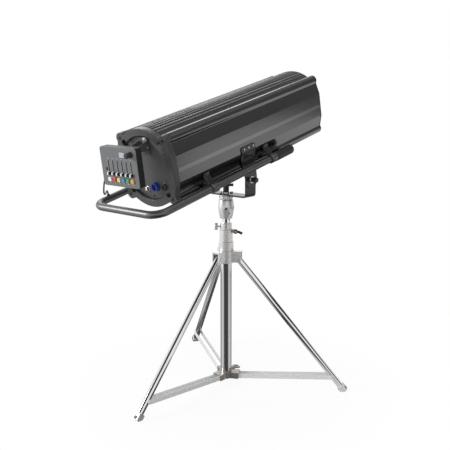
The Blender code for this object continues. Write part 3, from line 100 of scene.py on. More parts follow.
camera = placed("photo_camera", camera_data)
camera.location = mast + up * view_height + view_right * view_shift + view_back * view_distance
camera.rotation_euler = view_back.to_track_quat("Z", "Y").to_euler()
scene.camera = camera
scene.view_settings.view_transform = "Standard"


# The console's cord: a thin black round lead, moulded into the gland in the console's side.
# It hangs in a slack bow and goes into the rubber grommet on top of the handle tube.
seat_gap = 0.0003
tilt_height = 0.8409
head_pitch = math.radians(12.85)
housing_axis_rise = 0.1622
hinge_place = Vector((-0.423, 0, 0.0778))
console_lean = math.radians(4.76)
gland_end = Vector((-0.06645, 0.0938, -0.0975))
grommet_end = Vector((-0.453, 0.158, -0.0887))
cord_radius = 0.0028
cord_leaves = (
    (0, 0, 0), (0, 0.0040, 0), (-0.0005, 0.0085, -0.0025), (-0.0020, 0.0115, -0.0100),
    (-0.0050, 0.0130, -0.0210), (-0.0075, 0.0150, -0.0330), (-0.0077, 0.0187, -0.0447),
)
cord_arrives = (
    (-0.0470, -0.0395, 0.0207), (-0.0375, -0.0315, 0.0152), (-0.0260, -0.0215, 0.0142),
    (-0.0150, -0.0125, 0.0157), (-0.0060, -0.0050, 0.0152), (-0.0010, -0.0008, 0.0092),
    (0, 0, 0.0040), (0, 0, 0),
)
cord_steps = 5
head_frame = (
    Matrix.Translation(mast + up * tilt_height)
    @ Matrix.Rotation(-head_pitch, 4, "Y")
    @ Matrix.Translation((0, 0, housing_axis_rise))
)
console_frame = head_frame @ Matrix.Translation(hinge_place) @ Matrix.Rotation(console_lean, 4, "Y")


bump_height = 0.001
gloss_noise = (0.3, 0.7)
coat_roughness = 0.12


def add_node(tree, kind, values=None, **settings):
    """A shader node with its settings, and values for its inputs by name or number."""
    made = tree.nodes.new("ShaderNode" + kind)
    for setting, value in settings.items():
        setattr(made, setting, value)
    for socket, value in (values or {}).items():
        made.inputs[socket].default_value = value
    return made


def map_range(tree, given, result=(0, 1), **settings):
    """A node that carries one range of numbers over to another."""
    names = ("From Min", "From Max", "To Min", "To Max")
    return add_node(tree, "MapRange", dict(zip(names, (*given, *result))), **settings)


def wire(tree, *links):
    """Links between nodes, each given as a node, its output, the next node and its input."""
    for source, output, target, socket in links:
        tree.links.new(source.outputs[output], target.inputs[socket])


def surface_grain():
    """A group with cloudy tone, fine gloss and a fine bump, as cast, moulded and painted surfaces have."""
    group = bpy.data.node_groups.new("surface_grain", "ShaderNodeTree")
    sockets = {"INPUT": ("Vector", "Cloud", "Grain", "Depth"), "OUTPUT": ("Tone", "Gloss", "Normal")}
    for side, names in sockets.items():
        for socket in names:
            kind = "NodeSocketVector" if socket in ("Vector", "Normal") else "NodeSocketFloat"
            group.interface.new_socket(name=socket, in_out=side, socket_type=kind)
    given = group.nodes.new("NodeGroupInput")
    result = group.nodes.new("NodeGroupOutput")
    cloud = add_node(group, "TexNoise", {"Detail": 5})
    grain = add_node(group, "TexNoise", {"Detail": 3})
    bump = add_node(group, "Bump", {"Distance": bump_height})
    wire(
        group,
        (given, "Vector", cloud, "Vector"),
        (given, "Vector", grain, "Vector"),
        (given, "Cloud", cloud, "Scale"),
        (given, "Grain", grain, "Scale"),
        (given, "Depth", bump, "Strength"),
        (grain, "Fac", bump, "Height"),
        (cloud, "Fac", result, "Tone"),
        (grain, "Fac", result, "Gloss"),
        (bump, "Normal", result, "Normal"),
    )
    return group


grain_group = surface_grain()


def finish(name, tones, gloss, metallic=0.0, specular=0.5, cloud=40, grain=900, depth=0.1,
           stretch=(1, 1, 1), lean=0.0, coat=0.0):
    """A material whose tone and gloss vary over the surface, drawn out along an axis by stretch."""
    material = bpy.data.materials.new(name)
    material.use_nodes = True
    tree = material.node_tree
    shader = tree.nodes["Principled BSDF"]
    shader.inputs["Metallic"].default_value = metallic
    shader.inputs["Specular IOR Level"].default_value = specular
    shader.inputs["Coat Weight"].default_value = coat
    shader.inputs["Coat Roughness"].default_value = coat_roughness
    place = add_node(tree, "TexCoord")
    turn = add_node(tree, "Mapping", {"Rotation": (0, lean, 0)})
    drawn = add_node(tree, "Mapping", {"Scale": stretch})
    surface = add_node(tree, "Group", {"Cloud": cloud, "Grain": grain, "Depth": depth}, node_tree=grain_group)
    tone = add_node(tree, "Mix", {"A": (*tones[0], 1), "B": (*tones[1], 1)}, data_type="RGBA")
    rough = map_range(tree, gloss_noise, gloss)
    wire(
        tree,
        (place, "Object", turn, "Vector"),
        (turn, "Vector", drawn, "Vector"),
        (drawn, "Vector", surface, "Vector"),
        (surface, "Tone", tone, "Factor"),
        (tone, "Result", shader, "Base Color"),
        (surface, "Gloss", rough, "Value"),
        (rough, "Result", shader, "Roughness"),
        (surface, "Normal", shader, "Normal"),
    )
    return material

def grey(level, tint=0.0):
    """A colour of one level, a little bluer or warmer by tint."""
    return (level * (1 - tint), level, level * (1 + tint))


black_plastic = finish("black_plastic", (grey(0.014), grey(0.024)), (0.32, 0.46), grain=1400, depth=0.15)


def smooth_point(before, start, end, after, t):
    """A point on the smooth curve that passes through the route's own points."""
    straight = (-before + 3 * start - 3 * end + after) * t**3
    bowed = (2 * before - 5 * start + 4 * end - after) * t**2
    return (straight + bowed + (after - before) * t + 2 * start) / 2


def cord_path():
    """The cord's centreline in the row frame, from the gland to the grommet."""
    start = head_frame.inverted() @ console_frame @ gland_end
    route = [start + Vector(step) for step in cord_leaves]
    route += [grommet_end + Vector(step) for step in cord_arrives]
    points = []
    for k in range(len(route) - 1):
        before, after = route[max(k - 1, 0)], route[min(k + 2, len(route) - 1)]
        for step in range(cord_steps):
            points.append(smooth_point(before, route[k], route[k + 1], after, step / cord_steps))
    return [head_frame @ point for point in points + [route[-1]]]


def tube_along(points, radius):
    """A mesh tube on a line of points."""
    curve = bpy.data.curves.new("line", "CURVE")
    curve.dimensions = "3D"
    curve.bevel_depth = radius
    curve.bevel_resolution = 4
    curve.use_fill_caps = True
    spline = curve.splines.new("POLY")
    spline.points.add(len(points) - 1)
    for point, place in zip(spline.points, points):
        point.co = (*place, 1)
    holder = placed("line", curve)
    graph = bpy.context.evaluated_depsgraph_get()
    mesh = bpy.data.meshes.new_from_object(holder.evaluated_get(graph))
    bpy.data.objects.remove(holder)
    form = bmesh.new()
    form.from_mesh(mesh)
    bmesh.ops.remove_doubles(form, verts=form.verts, dist=1e-6)
    bmesh.ops.recalc_face_normals(form, faces=form.faces)
    form.to_mesh(mesh)
    form.free()
    mesh.shade_smooth()
    return mesh


cord_points = cord_path()
cord_mesh = tube_along(cord_points, cord_radius)
cord_mesh.materials.append(black_plastic)
console_cord = placed("console_cord", cord_mesh)
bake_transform(console_cord)
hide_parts("console_cable")


# The studio: a white floor that ends just below the picture, a soft box behind the lamp on its left and a
# weaker one ahead of it. Grey and dark cards that only reflections see stand to the right and hang above,
# as cards do beside shiny metal.
ambient = 0.62
floor_white = 0.88
floor_front = 0.62
floor_reach = 6.0
floor_glow = 0.93
floor_shaded = 0.35
floor_clear = 0.85


def seen_rays(tree):
    """One for rays from the camera, off gloss and through glass, nothing for light that falls on things."""
    path = add_node(tree, "LightPath")
    direct = add_node(tree, "Math", operation="MAXIMUM")
    seen = add_node(tree, "Math", operation="MAXIMUM")
    wire(
        tree,
        (path, "Is Camera Ray", direct, 0),
        (path, "Is Glossy Ray", direct, 1),
        (direct, "Value", seen, 0),
        (path, "Is Transmission Ray", seen, 1),
    )
    return seen


studio = bpy.data.worlds.new("studio")
studio.use_nodes = True
tree = studio.node_tree
backdrop = tree.nodes["Background"]
backdrop.inputs["Color"].default_value = (1, 1, 1, 1)
level = map_range(tree, (0, 1), (ambient, 1))
wire(tree, (seen_rays(tree), "Value", level, "Value"), (level, "Result", backdrop, "Strength"))
scene.world = studio


def stage_sheet(name, corner, across, rise, material):
    """A flat sheet of the studio from a corner and two sides."""
    form = bmesh.new()
    corners = [corner, corner + across, corner + across + rise, corner + rise]
    form.faces.new([form.verts.new(place) for place in corners])
    mesh = bpy.data.meshes.new(name)
    form.to_mesh(mesh)
    form.free()
    mesh.materials.append(material)
    sheet = placed(name, mesh)
    return sheet


floor_paint = finish("floor_paint", (grey(floor_white), grey(floor_white + 0.02)), (0.7, 0.8), depth=0.0)
tree = floor_paint.node_tree
glow = add_node(tree, "Emission")
place = add_node(tree, "TexCoord")
away = add_node(tree, "VectorMath", {1: mast}, operation="DISTANCE")
fade = map_range(tree, (floor_shaded, floor_clear), (floor_glow, 1), interpolation_type="SMOOTHSTEP")
share = add_node(tree, "Math", operation="MULTIPLY")
mixed = add_node(tree, "MixShader")
wire(
    tree,
    (place, "Object", away, 0),
    (away, "Value", fade, "Value"),
    (seen_rays(tree), "Value", share, 0),
    (fade, "Result", share, 1),
    (share, "Value", mixed, "Fac"),
    (tree.nodes["Principled BSDF"], "BSDF", mixed, 1),
    (glow, "Emission", mixed, 2),
    (mixed, "Shader", tree.nodes["Material Output"], "Surface"),
)
floor_corner = mast + view_level * floor_front - view_right * floor_reach
floor_depth = floor_front + floor_reach
stage_sheet("floor", floor_corner, view_right * 2 * floor_reach, -view_level * floor_depth, floor_paint)


def card_paint(name, level):
    """A flat tone that a card shows in reflections."""
    paint = bpy.data.materials.new(name)
    paint.use_nodes = True
    tree = paint.node_tree
    tree.nodes.remove(tree.nodes["Principled BSDF"])
    tone = add_node(tree, "Emission", {"Color": (*grey(level), 1)})
    wire(tree, (tone, "Emission", tree.nodes["Material Output"], "Surface"))
    return paint


def reflected_card(name, corner, across, rise, paint):
    """A card that shows only in reflections and keeps no light from the object."""
    card = stage_sheet(name, mast + corner, across, rise, paint)
    card.visible_camera = False
    card.visible_diffuse = False
    card.visible_shadow = False
    card.visible_transmission = False


def level_at(degrees):
    """A level direction by its bearing from the beam."""
    bearing = math.radians(degrees)
    return Vector((math.cos(bearing), math.sin(bearing), 0))


side_level = level_at(-41)
side_across = level_at(-131)
leg_level = level_at(268)
leg_across = level_at(358)
# Each card has a name, a tone, a corner measured from the mast's foot, and two sides.
cards = (
    ("high_card", 0.26, side_level * 2.2 - side_across * 1.7 + up * 0.98, side_across * 3.4, up * 2.0),
    ("low_card", 0.05, side_level * 0.36 - side_across * 0.7 + up * 0.60,
     side_across * 1.4, side_level * 0.66),
    ("over_card", 0.40, Vector((0.15, -1.3, 2.8)), Vector((1.9, 0, 0)), Vector((0, 2.3, 0))),
    ("leg_card", 0.08, leg_level * 1.9 + up * 0.5, leg_across * 1.4, up * 0.95),
    ("left_card", 0.06, Vector((-4.6, -2.6, 2.6)), Vector((4.1, 0, 0)), Vector((0, 4.0, 0))),
)
for name, tone, corner, across, rise in cards:
    reflected_card(name, corner, across, rise, card_paint(name, tone))
# In reflections the floor is dark towards the camera and straight behind, light to both sides and grey
# between them and the back. Each stop is a place from the back to the camera, with its tone.
ground_dark = 0.06
ground_stops = ((0.05, 0.08), (0.11, 0.52), (0.32, 0.30), (0.50, 0.66), (0.76, 0.74), (0.91, 0.07))
ground_paint = card_paint("ground_card", ground_dark)
tree = ground_paint.node_tree
place = add_node(tree, "TexCoord")
from_mast = add_node(tree, "VectorMath", {1: mast}, operation="SUBTRACT")
heading = add_node(tree, "VectorMath", operation="NORMALIZE")
facing_us = add_node(tree, "VectorMath", {1: view_level}, operation="DOT_PRODUCT")
spread = map_range(tree, (-1, 1))
tones = add_node(tree, "ValToRGB")
for end in tones.color_ramp.elements:
    end.color = (*grey(ground_dark), 1)
for stop, tone in ground_stops:
    tones.color_ramp.elements.new(stop).color = (*grey(tone), 1)
wire(
    tree,
    (place, "Object", from_mast, 0),
    (from_mast, "Vector", heading, 0),
    (heading, "Vector", facing_us, 0),
    (facing_us, "Value", spread, "Value"),
    (spread, "Result", tones, "Fac"),
    (tones, "Color", tree.nodes["Emission"], "Color"),
)
ground_corner = view_level * 4.5 - view_right * 1.7 + up * 0.0005
reflected_card("ground_card", ground_corner, view_right * 3.4, view_level * -6.2, ground_paint)


light_aim = mast + up * 0.75


def soft_light(name, bearing, distance, height, size, watts):
    """A square soft box, placed by its bearing from the beam, that points at the middle of the stand."""
    lamp = bpy.data.lights.new(name, "AREA")
    lamp.size = size
    lamp.energy = watts
    box = placed(name, lamp)
    box.location = mast + level_at(bearing) * distance + up * height
    box.rotation_euler = (box.location - light_aim).to_track_quat("Z", "Y").to_euler()


soft_light("key_box", bearing=140, distance=5.0, height=2.4, size=1.4, watts=150)
soft_light("back_box", bearing=52, distance=2.6, height=2.35, size=1.8, watts=15)


# The column: a drawn steel tube with bright chrome plate, open below and closed above by the mast head.
# The riser slides inside it.
column_radius = 0.0225
column_wall = 0.0025
column_bottom = 0.0185
column_top = 0.5948
mast_frame = Matrix.Translation(mast)


def turned(profile, place, steps=64, closed=False):
    """A profile of (radius, height) points spun round the Z axis of a place."""
    form = bmesh.new()
    line = [form.verts.new((radius, 0, height)) for radius, height in profile]
    edges = [form.edges.new(ends) for ends in zip(line, line[1:])]
    if closed:
        edges.append(form.edges.new((line[-1], line[0])))
    bmesh.ops.spin(
        form, geom=line + edges, cent=(0, 0, 0), axis=(0, 0, 1), dvec=(0, 0, 0),
        angle=2 * math.pi, steps=steps, use_merge=True,
    )
    bmesh.ops.remove_doubles(form, verts=form.verts, dist=1e-6)
    bmesh.ops.recalc_face_normals(form, faces=form.faces)
    form.transform(place)
    return form


def piece(name, forms, material, body, *stands_for, sharp=38):
    """A piece of finished forms, at the origin, that rides on a body and may stand for its solids."""
    mesh = bpy.data.meshes.new(name)
    whole = bmesh.new()
    for form in forms:
        form.to_mesh(mesh)
        whole.from_mesh(mesh)
        form.free()
    whole.to_mesh(mesh)
    whole.free()
    mesh.materials.append(material)
    mesh.shade_smooth()
    mesh.set_sharp_from_angle(angle=math.radians(sharp))
    made = placed(name, mesh)
    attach(made, body)
    if stands_for:
        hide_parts(*stands_for)
    return made


chrome_tube = finish(
    "chrome_tube", (grey(0.80, 0.004), grey(0.72, 0.008)), (0.05, 0.08), metallic=1.0,
    cloud=30, grain=700, depth=0.0, stretch=(1, 1, 0.08),
)
edge = 0.0006
column_line = [
    (column_radius - column_wall, column_bottom), (column_radius - edge, column_bottom),
    (column_radius, column_bottom + edge), (column_radius, column_top),
    (column_radius - column_wall, column_top),
]
piece("column", [turned(column_line, mast_frame, closed=True)], chrome_tube, "base", "column_tube")


# The leg hub: a nickel-plated casting pressed on the column, with three forked ears under one flange.
# A hexagon-headed pin goes through each fork and the leg in it.
nickel_casting = finish(
    "nickel_casting", (grey(0.76, -0.02), grey(0.66, -0.02)), (0.28, 0.42), metallic=0.65,
    cloud=55, grain=1100, depth=0.12,
)


soft_angle = 32
flat_angle = math.radians(0.4)


def softened(node, name, material, edge, segments=2):
    """A copy of a solid with its triangles joined up and its edges rounded, in that solid's place."""
    form = bmesh.new()
    form.from_mesh(frame["nodes"][node].data)
    bmesh.ops.remove_doubles(form, verts=form.verts, dist=1e-6)
    bmesh.ops.dissolve_limit(
        form, angle_limit=flat_angle, verts=form.verts, edges=form.edges, use_dissolve_boundaries=False
    )
    made = piece(name, [form], material, frame["nodes"][node]["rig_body"], node, sharp=soft_angle)
    if edge:
        rounding = made.modifiers.new("edges", "BEVEL")
        rounding.width = edge
        rounding.segments = segments
        rounding.limit_method = "ANGLE"
        rounding.angle_limit = math.radians(soft_angle)
        made.modifiers.new("normals", "WEIGHTED_NORMAL").keep_sharp = True
    return made

softened("leg_hub", "hub_casting", nickel_casting, 0.0012)


# The legs: chromed tubes with a domed plug at the pivot, and the rivet that the brace bars straddle.
# Each stands in a cast foot with an open pocket on its outer face.
leg_angle = math.radians(39.8)
leg_bearings = [math.radians(178.15 + 120 * k) for k in range(3)]
leg_radius = 0.0125
leg_pivot_radius = 0.046
leg_pivot_height = 0.522
leg_end = -0.66044
rivet_place = (-0.005, 0, -0.600)
rivet_half = 0.0132
rivet_radius = 0.004
along_y = Matrix.Rotation(-math.pi / 2, 4, "X")


def rod(radius, low, high):
    """The profile of a plain round bar between two heights."""
    return [(0, low), (radius, low), (radius, high), (0, high)]


for number, bearing in enumerate(leg_bearings, 1):
    leg_frame = (
        mast_frame
        @ Matrix.Rotation(bearing, 4, "Z")
        @ Matrix.Translation((leg_pivot_radius, 0, leg_pivot_height))
        @ Matrix.Rotation(-leg_angle, 4, "Y")
    )
    dome = [math.pi / 2 * k / 8 for k in range(9)]
    leg_line = [(leg_radius * math.sin(a), leg_radius * math.cos(a)) for a in dome]
    leg_line += [(leg_radius, leg_end + edge), (leg_radius - edge, leg_end), (0, leg_end)]
    across_leg = leg_frame @ Matrix.Translation(rivet_place) @ along_y
    rivet = turned(rod(rivet_radius, -rivet_half, rivet_half), across_leg, 20)
    tube = turned(leg_line, leg_frame, 48)
    piece(f"leg_tube_{number}", [tube, rivet], chrome_tube, f"leg_{number}", f"leg_{number}")
    softened(f"foot_{number}", f"foot_casting_{number}", nickel_casting, 0.0010)


# The spreader: a star-shaped casting that slides on the column, with a channel for each brace.
# A cast wing screw locks it, and each brace is two flat zinc-plated bars riveted at their ends.
zinc_bar = finish(
    "zinc_bar", (grey(0.80), grey(0.76, 0.01)), (0.40, 0.50), metallic=0.10,
    cloud=60, grain=500, depth=0.0, stretch=(0.3, 0.3, 1.0),
)
aged_nickel = finish(
    "aged_nickel", (grey(0.36, -0.07), grey(0.28, -0.07)), (0.30, 0.46), metallic=0.65,
    cloud=55, grain=1100, depth=0.10,
)
softened("spreader_hub", "spreader_casting", aged_nickel, 0.0009)
softened("spreader_screw", "wing_screw", aged_nickel, 0.0012)
for number in (1, 2, 3):
    softened(f"brace_{number}", f"brace_bars_{number}", zinc_bar, 0.0004)


# The mast head: a stepped casting on top of the column, split at its neck to grip the riser.
# A thick thumbscrew closes the neck, and a black lever on a stud clamps it.
softened("mast_sleeve", "sleeve_casting", nickel_casting, 0.0007)
seam_radius = 0.0298
seam_bottom = 0.5500
seam_line = [
    (seam_radius - 0.004, seam_bottom), (seam_radius, seam_bottom + edge),
    (seam_radius, seam_bottom + 0.0035), (seam_radius - 0.004, seam_bottom + 0.0045),
]
piece("sleeve_collar", [turned(seam_line, mast_frame, closed=True)], nickel_casting, "base")
thumb_height = 0.64468
thumb_bearing = math.radians(130)
thumb_tip = 0.0171
thumb_stem = 0.0035
thumb_radius = 0.0135
thumb_start = 0.032
thumb_end = 0.045
thumb_ridges = 36
across_x = Matrix(((0, 0, 1, 0), (1, 0, 0, 0), (0, 1, 0, 0), (0, 0, 0, 1)))
thumb_frame = (
    mast_frame
    @ Matrix.Translation((0, 0, thumb_height))
    @ Matrix.Rotation(thumb_bearing, 4, "Z")
    @ across_x
)
thumb_line = [
    (0, thumb_tip), (thumb_stem, thumb_tip), (thumb_stem, thumb_start),
    (thumb_radius - 0.0015, thumb_start), (thumb_radius, thumb_start + 0.0015),
    (thumb_radius, thumb_end - 0.0015), (thumb_radius - 0.0015, thumb_end), (0.007, thumb_end),
    (0.006, thumb_end - 0.0008), (0, thumb_end - 0.0008),
]


def knurled(form, place, radius, count, drawn_in=0.955):
    """Ridges pressed along a round grip: every other line of its points drawn in a little."""
    inverse = place.inverted()
    for vert in form.verts:
        local = inverse @ vert.co
        turn = math.atan2(local.y, local.x) * count / (2 * math.pi)
        if math.hypot(local.x, local.y) > radius - 1e-5 and round(2 * turn) % 2:
            vert.co = place @ Vector((local.x * drawn_in, local.y * drawn_in, local.z))
    return form


thumb = turned(thumb_line, thumb_frame, 2 * thumb_ridges)
knurled(thumb, thumb_frame, thumb_radius, thumb_ridges)
piece("thumb_screw", [thumb], nickel_casting, "collar_screw", "collar_screw", sharp=25)
softened("clamp_lever", "lever_moulding", black_plastic, 0.0012, 3)


# The riser and its swivel: a chromed inner tube, and a nickel-plated cast barrel pinned on its top.
# Two socket set screws hold the barrel; their flat near-black is painted shade, the dark of the holes they
# sit in.
riser_radius = 0.0165
riser_bottom = 0.1953
riser_top = 0.6953
bush_radius = 0.0197
bush_height = 0.030
riser_line = [
    (0, riser_top), (riser_radius, riser_top), (riser_radius, riser_bottom + bush_height),
    (bush_radius, riser_bottom + bush_height), (bush_radius, riser_bottom), (0, riser_bottom),
]
piece("riser", [turned(riser_line, mast_frame)], chrome_tube, "riser", "riser_tube")
barrel_bottom = 0.6788
barrel_height = 0.075
barrel_top = barrel_bottom + barrel_height
stud_radius = 0.006
stud_length = 0.041
barrel_line = [
    (0, riser_top + seat_gap), (riser_radius + seat_gap, riser_top + seat_gap),
    (riser_radius + seat_gap, barrel_bottom), (0.0232, barrel_bottom),
    (0.0240, barrel_bottom + 0.0008), (0.0254, barrel_bottom + 0.007),
    (0.0272, barrel_bottom + 0.013), (0.0290, barrel_bottom + 0.023),
    (0.0304, barrel_bottom + 0.033), (0.0313, barrel_bottom + 0.038),
    (0.0315, barrel_bottom + 0.042), (0.0315, barrel_bottom + 0.0475),
    (0.0311, barrel_bottom + 0.051), (0.0298, barrel_bottom + 0.060), (0.0286, barrel_top - 0.006),
    (0.0278, barrel_top - 0.003), (0.0262, barrel_top), (stud_radius, barrel_top),
    (stud_radius, barrel_top + stud_length), (0, barrel_top + stud_length),
]
piece("barrel_casting", [turned(barrel_line, mast_frame)], nickel_casting, "riser", "swivel_barrel")
black_oxide = finish("black_oxide", (grey(0.012), grey(0.022)), (0.35, 0.5), metallic=0.4, grain=1500)


def facing(place, normal):
    """A frame at a place with its Z axis along a normal."""
    return Matrix.Translation(place) @ Vector(normal).to_track_quat("Z", "Y").to_matrix().to_4x4()


def socket_screw(place, radius, height):
    """A domed screw head with a round socket, its Z axis out of the surface."""
    line = [
        (0, height * 0.35), (radius * 0.42, height * 0.35), (radius * 0.45, height),
        (radius * 0.72, height * 0.93), (radius * 0.92, height * 0.66), (radius, height * 0.25),
        (radius, -height * 0.3), (0, -height * 0.3),
    ]
    return turned(line, place, 28)


def round_the_mast(bearing, radius, height):
    """A frame on a circle round the mast, facing away from it."""
    out = level_at(bearing)
    return facing(mast + out * radius + up * height, out)


# Flat near-black with almost no gloss: painted shade of the screw holes, put on the screws' heads.
hole_shade_black = finish("hole_shade_black", (grey(0.004), grey(0.007)), (0.8, 0.9), specular=0.1, depth=0.0)
set_screws = [
    socket_screw(round_the_mast(221, 0.0311, 0.7205), 0.0044, 0.0010),
    socket_screw(round_the_mast(246, 0.0286, 0.7010), 0.0030, 0.0010),
]
piece("barrel_set_screws", set_screws, hole_shade_black, "riser")


# The pan flange and yoke: a nickel-plated collar on the swivel's stud, and a black bar bent to a U on it.
# Bright screws go into the collar's side, and four plated hexagon bolts hold the bar down.
black_steel = finish(
    "black_steel", (grey(0.012), grey(0.018)), (0.24, 0.34), specular=0.55, cloud=25, grain=1300, depth=0.10
)
flange_middle = 0.76285
flange_radius = 0.0245
flange_screw_radius = 0.0048
flange_screw_height = 0.0030
softened("pan_flange", "flange_collar", nickel_casting, 0.0008)
flange_screws = []
for k in range(6):
    spot = round_the_mast(220 + 60 * (k + 0.5), flange_radius - 0.0002, flange_middle)
    flange_screws.append(socket_screw(spot, flange_screw_radius, flange_screw_height))
piece("flange_screws", flange_screws, chrome_tube, "pan")
softened("yoke", "yoke_bar", black_steel, 0.0008)
yoke_top = 0.7779
bolt_circle = 0.021
bolt_radius = 0.0067
bolt_height = 0.0056
washer_radius = 0.0082
washer_low = 0.0001
washer_high = 0.0011


def rounded(form, edges, width, segments=2):
    """Rounds some of a form's edges."""
    bmesh.ops.bevel(
        form, geom=edges, offset=width, segments=segments, profile=0.5, affect="EDGES", material=-1
    )


def hexagon_head(place, radius, height):
    """A hexagon bolt head with its corners turned off."""
    form = bmesh.new()
    bmesh.ops.create_cone(form, cap_ends=True, segments=6, radius1=radius, radius2=radius, depth=height)
    bmesh.ops.translate(form, vec=(0, 0, height / 2), verts=form.verts)
    rim = [e for e in form.edges if all(v.co.z > height * 0.9 for v in e.verts)]
    rounded(form, rim, radius * 0.14)
    form.transform(place)
    return form


bolt_heads = []
for k in range(4):
    bearing = -50 + 90 * k
    spot = Matrix.Translation(mast + level_at(bearing) * bolt_circle + up * yoke_top)
    turn = Matrix.Rotation(math.radians(bearing), 4, "Z")
    bolt_heads.append(hexagon_head(spot @ turn, bolt_radius, bolt_height))
    bolt_heads.append(turned(rod(washer_radius, washer_low, washer_high), spot, 28))
piece("yoke_bolts", bolt_heads, nickel_casting, "pan")
softened("pan_lock_knob", "pan_lock_post", black_plastic, 0.0012, 3)


# The tilt knobs: black moulded knobs with fluted sides on steel studs, a bright washer under each.
# They clamp the pivot plates to the yoke's arms.
tilt_frame = Matrix.Translation(mast + up * tilt_height)
nut_inner = 0.1119
nut_outer = 0.1169
washer_inner = 0.1268
washer_outer = 0.1293
knob_outer = 0.1533
knob_radius = 0.0095
knob_flutes = 12
knob_stud = 0.006
knob_nut = 0.010
for side, name in ((1, "tilt_knob_left"), (-1, "tilt_knob_right")):
    place = tilt_frame @ Matrix.Rotation(-side * math.pi / 2, 4, "X")
    knob_line = [
        (0, washer_outer), (knob_radius - 0.0008, washer_outer),
        (knob_radius, washer_outer + 0.0008), (knob_radius, knob_outer - 0.003),
        (knob_radius - 0.0006, knob_outer - 0.0012), (knob_radius - 0.0022, knob_outer),
        (0, knob_outer),
    ]
    knob = knurled(turned(knob_line, place, 4 * knob_flutes), place, knob_radius, knob_flutes)
    piece(f"{name}_grip", [knob], black_plastic, name, name, sharp=30)
    ring_line = [
        (knob_stud, washer_inner), (0.0134, washer_inner), (0.0140, washer_inner + 0.0006),
        (0.0140, washer_outer - 0.0006), (0.0134, washer_outer), (knob_stud, washer_outer),
    ]
    nut = hexagon_head(place @ Matrix.Translation(up * nut_inner), knob_nut, nut_outer - nut_inner)
    stud = turned(rod(knob_stud, nut_inner, washer_outer), place, 28)
    steel = [stud, turned(ring_line, place, 40, closed=True), nut]
    piece(f"{name}_steel", steel, nickel_casting, name)


# The housing's side shells: two black anodised aluminium extrusions with a rounded lobe at each corner.
# Each has a slightly raised band along the middle of its flat face, painted lighter than the shell as a
# painted reflection.
shell_back = -0.3717
shell_front = 0.4927
shell_wall = 0.003
core_radius = 0.140
core_half_width = 0.082
lobe_y = 0.103
lobe_z = 0.101
lobe_radius = 0.020
lobe_steps = 18
waist = (0.1205, 0.084)
side_corner = (0.131, 0.047)
lip_width = 0.015
crease = 0.0030
sides = ((1, "left"), (-1, "right"))
anodised = dict(metallic=1.0, cloud=18, grain=650, depth=0.02, stretch=(0.02, 1, 1), lean=head_pitch)
black_extrusion = finish("black_extrusion", (grey(0.125), grey(0.150)), (0.17, 0.23), **anodised)


def shell_outline():
    """The outside of a side shell from the lip under the top cover to the one above the bottom cover."""
    lip = core_radius - shell_wall - seat_gap
    near = core_half_width - lip_width
    upper = [(near, math.sqrt(lip**2 - near**2))]
    upper.append((core_half_width, math.sqrt(lip**2 - core_half_width**2)))
    for k in range(lobe_steps + 1):
        angle = math.radians(145 - 180 * k / lobe_steps)
        upper.append((lobe_y + lobe_radius * math.cos(angle), lobe_z + lobe_radius * math.sin(angle)))
    upper += [waist, side_corner]
    return upper + [(y, -z) for y, z in reversed(upper)]


def side_shell(side, name, node):
    """The outline drawn out along the beam, its creases rounded, then given its wall."""
    form = bmesh.new()
    line = [form.verts.new((shell_back, side * y, z)) for y, z in shell_outline()]
    edges = [form.edges.new(ends) for ends in zip(line, line[1:])]
    drawn = bmesh.ops.extrude_edge_only(form, edges=edges)["geom"]
    far = [v for v in drawn if isinstance(v, bmesh.types.BMVert)]
    bmesh.ops.translate(form, vec=(shell_front - shell_back, 0, 0), verts=far)
    creases = []
    for long_edge in form.edges:
        first, last = (v.co for v in long_edge.verts)
        corner = (abs(first.y), abs(first.z))
        straight = abs(first.x - last.x) > 0.1
        if straight and (math.dist(corner, side_corner) < 1e-4 or math.dist(corner, waist) < 1e-4):
            creases.append(long_edge)
    rounded(form, creases, crease, 4)
    flat = max(form.faces, key=lambda face: abs(face.calc_center_median().y))
    if flat.normal.y * side < 0:
        bmesh.ops.reverse_faces(form, faces=form.faces)
    form.transform(head_frame)
    made = piece(name, [form], black_extrusion, "head", node, sharp=50)
    wall = made.modifiers.new("wall", "SOLIDIFY")
    wall.thickness = shell_wall
    wall.offset = -1
    wall.use_even_offset = True
    made.modifiers.new("normals", "WEIGHTED_NORMAL").keep_sharp = True


def rounded_block(low, high, place, edge=0.0005, segments=2):
    """A block between two corners with rounded edges."""
    form = bmesh.new()
    low, high = Vector(low), Vector(high)
    bmesh.ops.create_cube(form, size=1)
    bmesh.ops.scale(form, vec=high - low, verts=form.verts)
    bmesh.ops.translate(form, vec=(low + high) / 2, verts=form.verts)
    rounded(form, form.edges, edge, segments)
    form.transform(place)
    return form


# The band's lighter tone is a painted reflection, the sheen that strip of the flat face catches, and not a
# colour of its own.
band_sheen_paint = finish("band_sheen_paint", (grey(0.200), grey(0.230)), (0.20, 0.26), **anodised)
band_low = -0.0115
band_high = 0.0030
band_proud = 0.0005
band_sunk = 0.0005
for side, name in sides:
    side_shell(side, f"side_extrusion_{name}", f"side_shell_{name}")
    faces = sorted((side * (side_corner[0] - band_sunk), side * (side_corner[0] + band_proud)))
    low = (shell_back + band_sunk, faces[0], band_low)
    high = (shell_front - band_sunk, faces[1], band_high)
    band = rounded_block(low, high, head_frame, 0.0002, 1)
    piece(f"side_band_{name}", [band], band_sheen_paint, "head")


# The covers: curved black sheets between the side shells, the top one ribbed along its length.
# Rows of slots near the lamp let the heat out, above and below.
cover_black = finish("cover_black", (grey(0.085), grey(0.105)), (0.36, 0.44), **anodised)
softened("top_cover", "ribbed_cover", cover_black, 0.0)
softened("bottom_cover", "belly_cover", cover_black, 0.0)


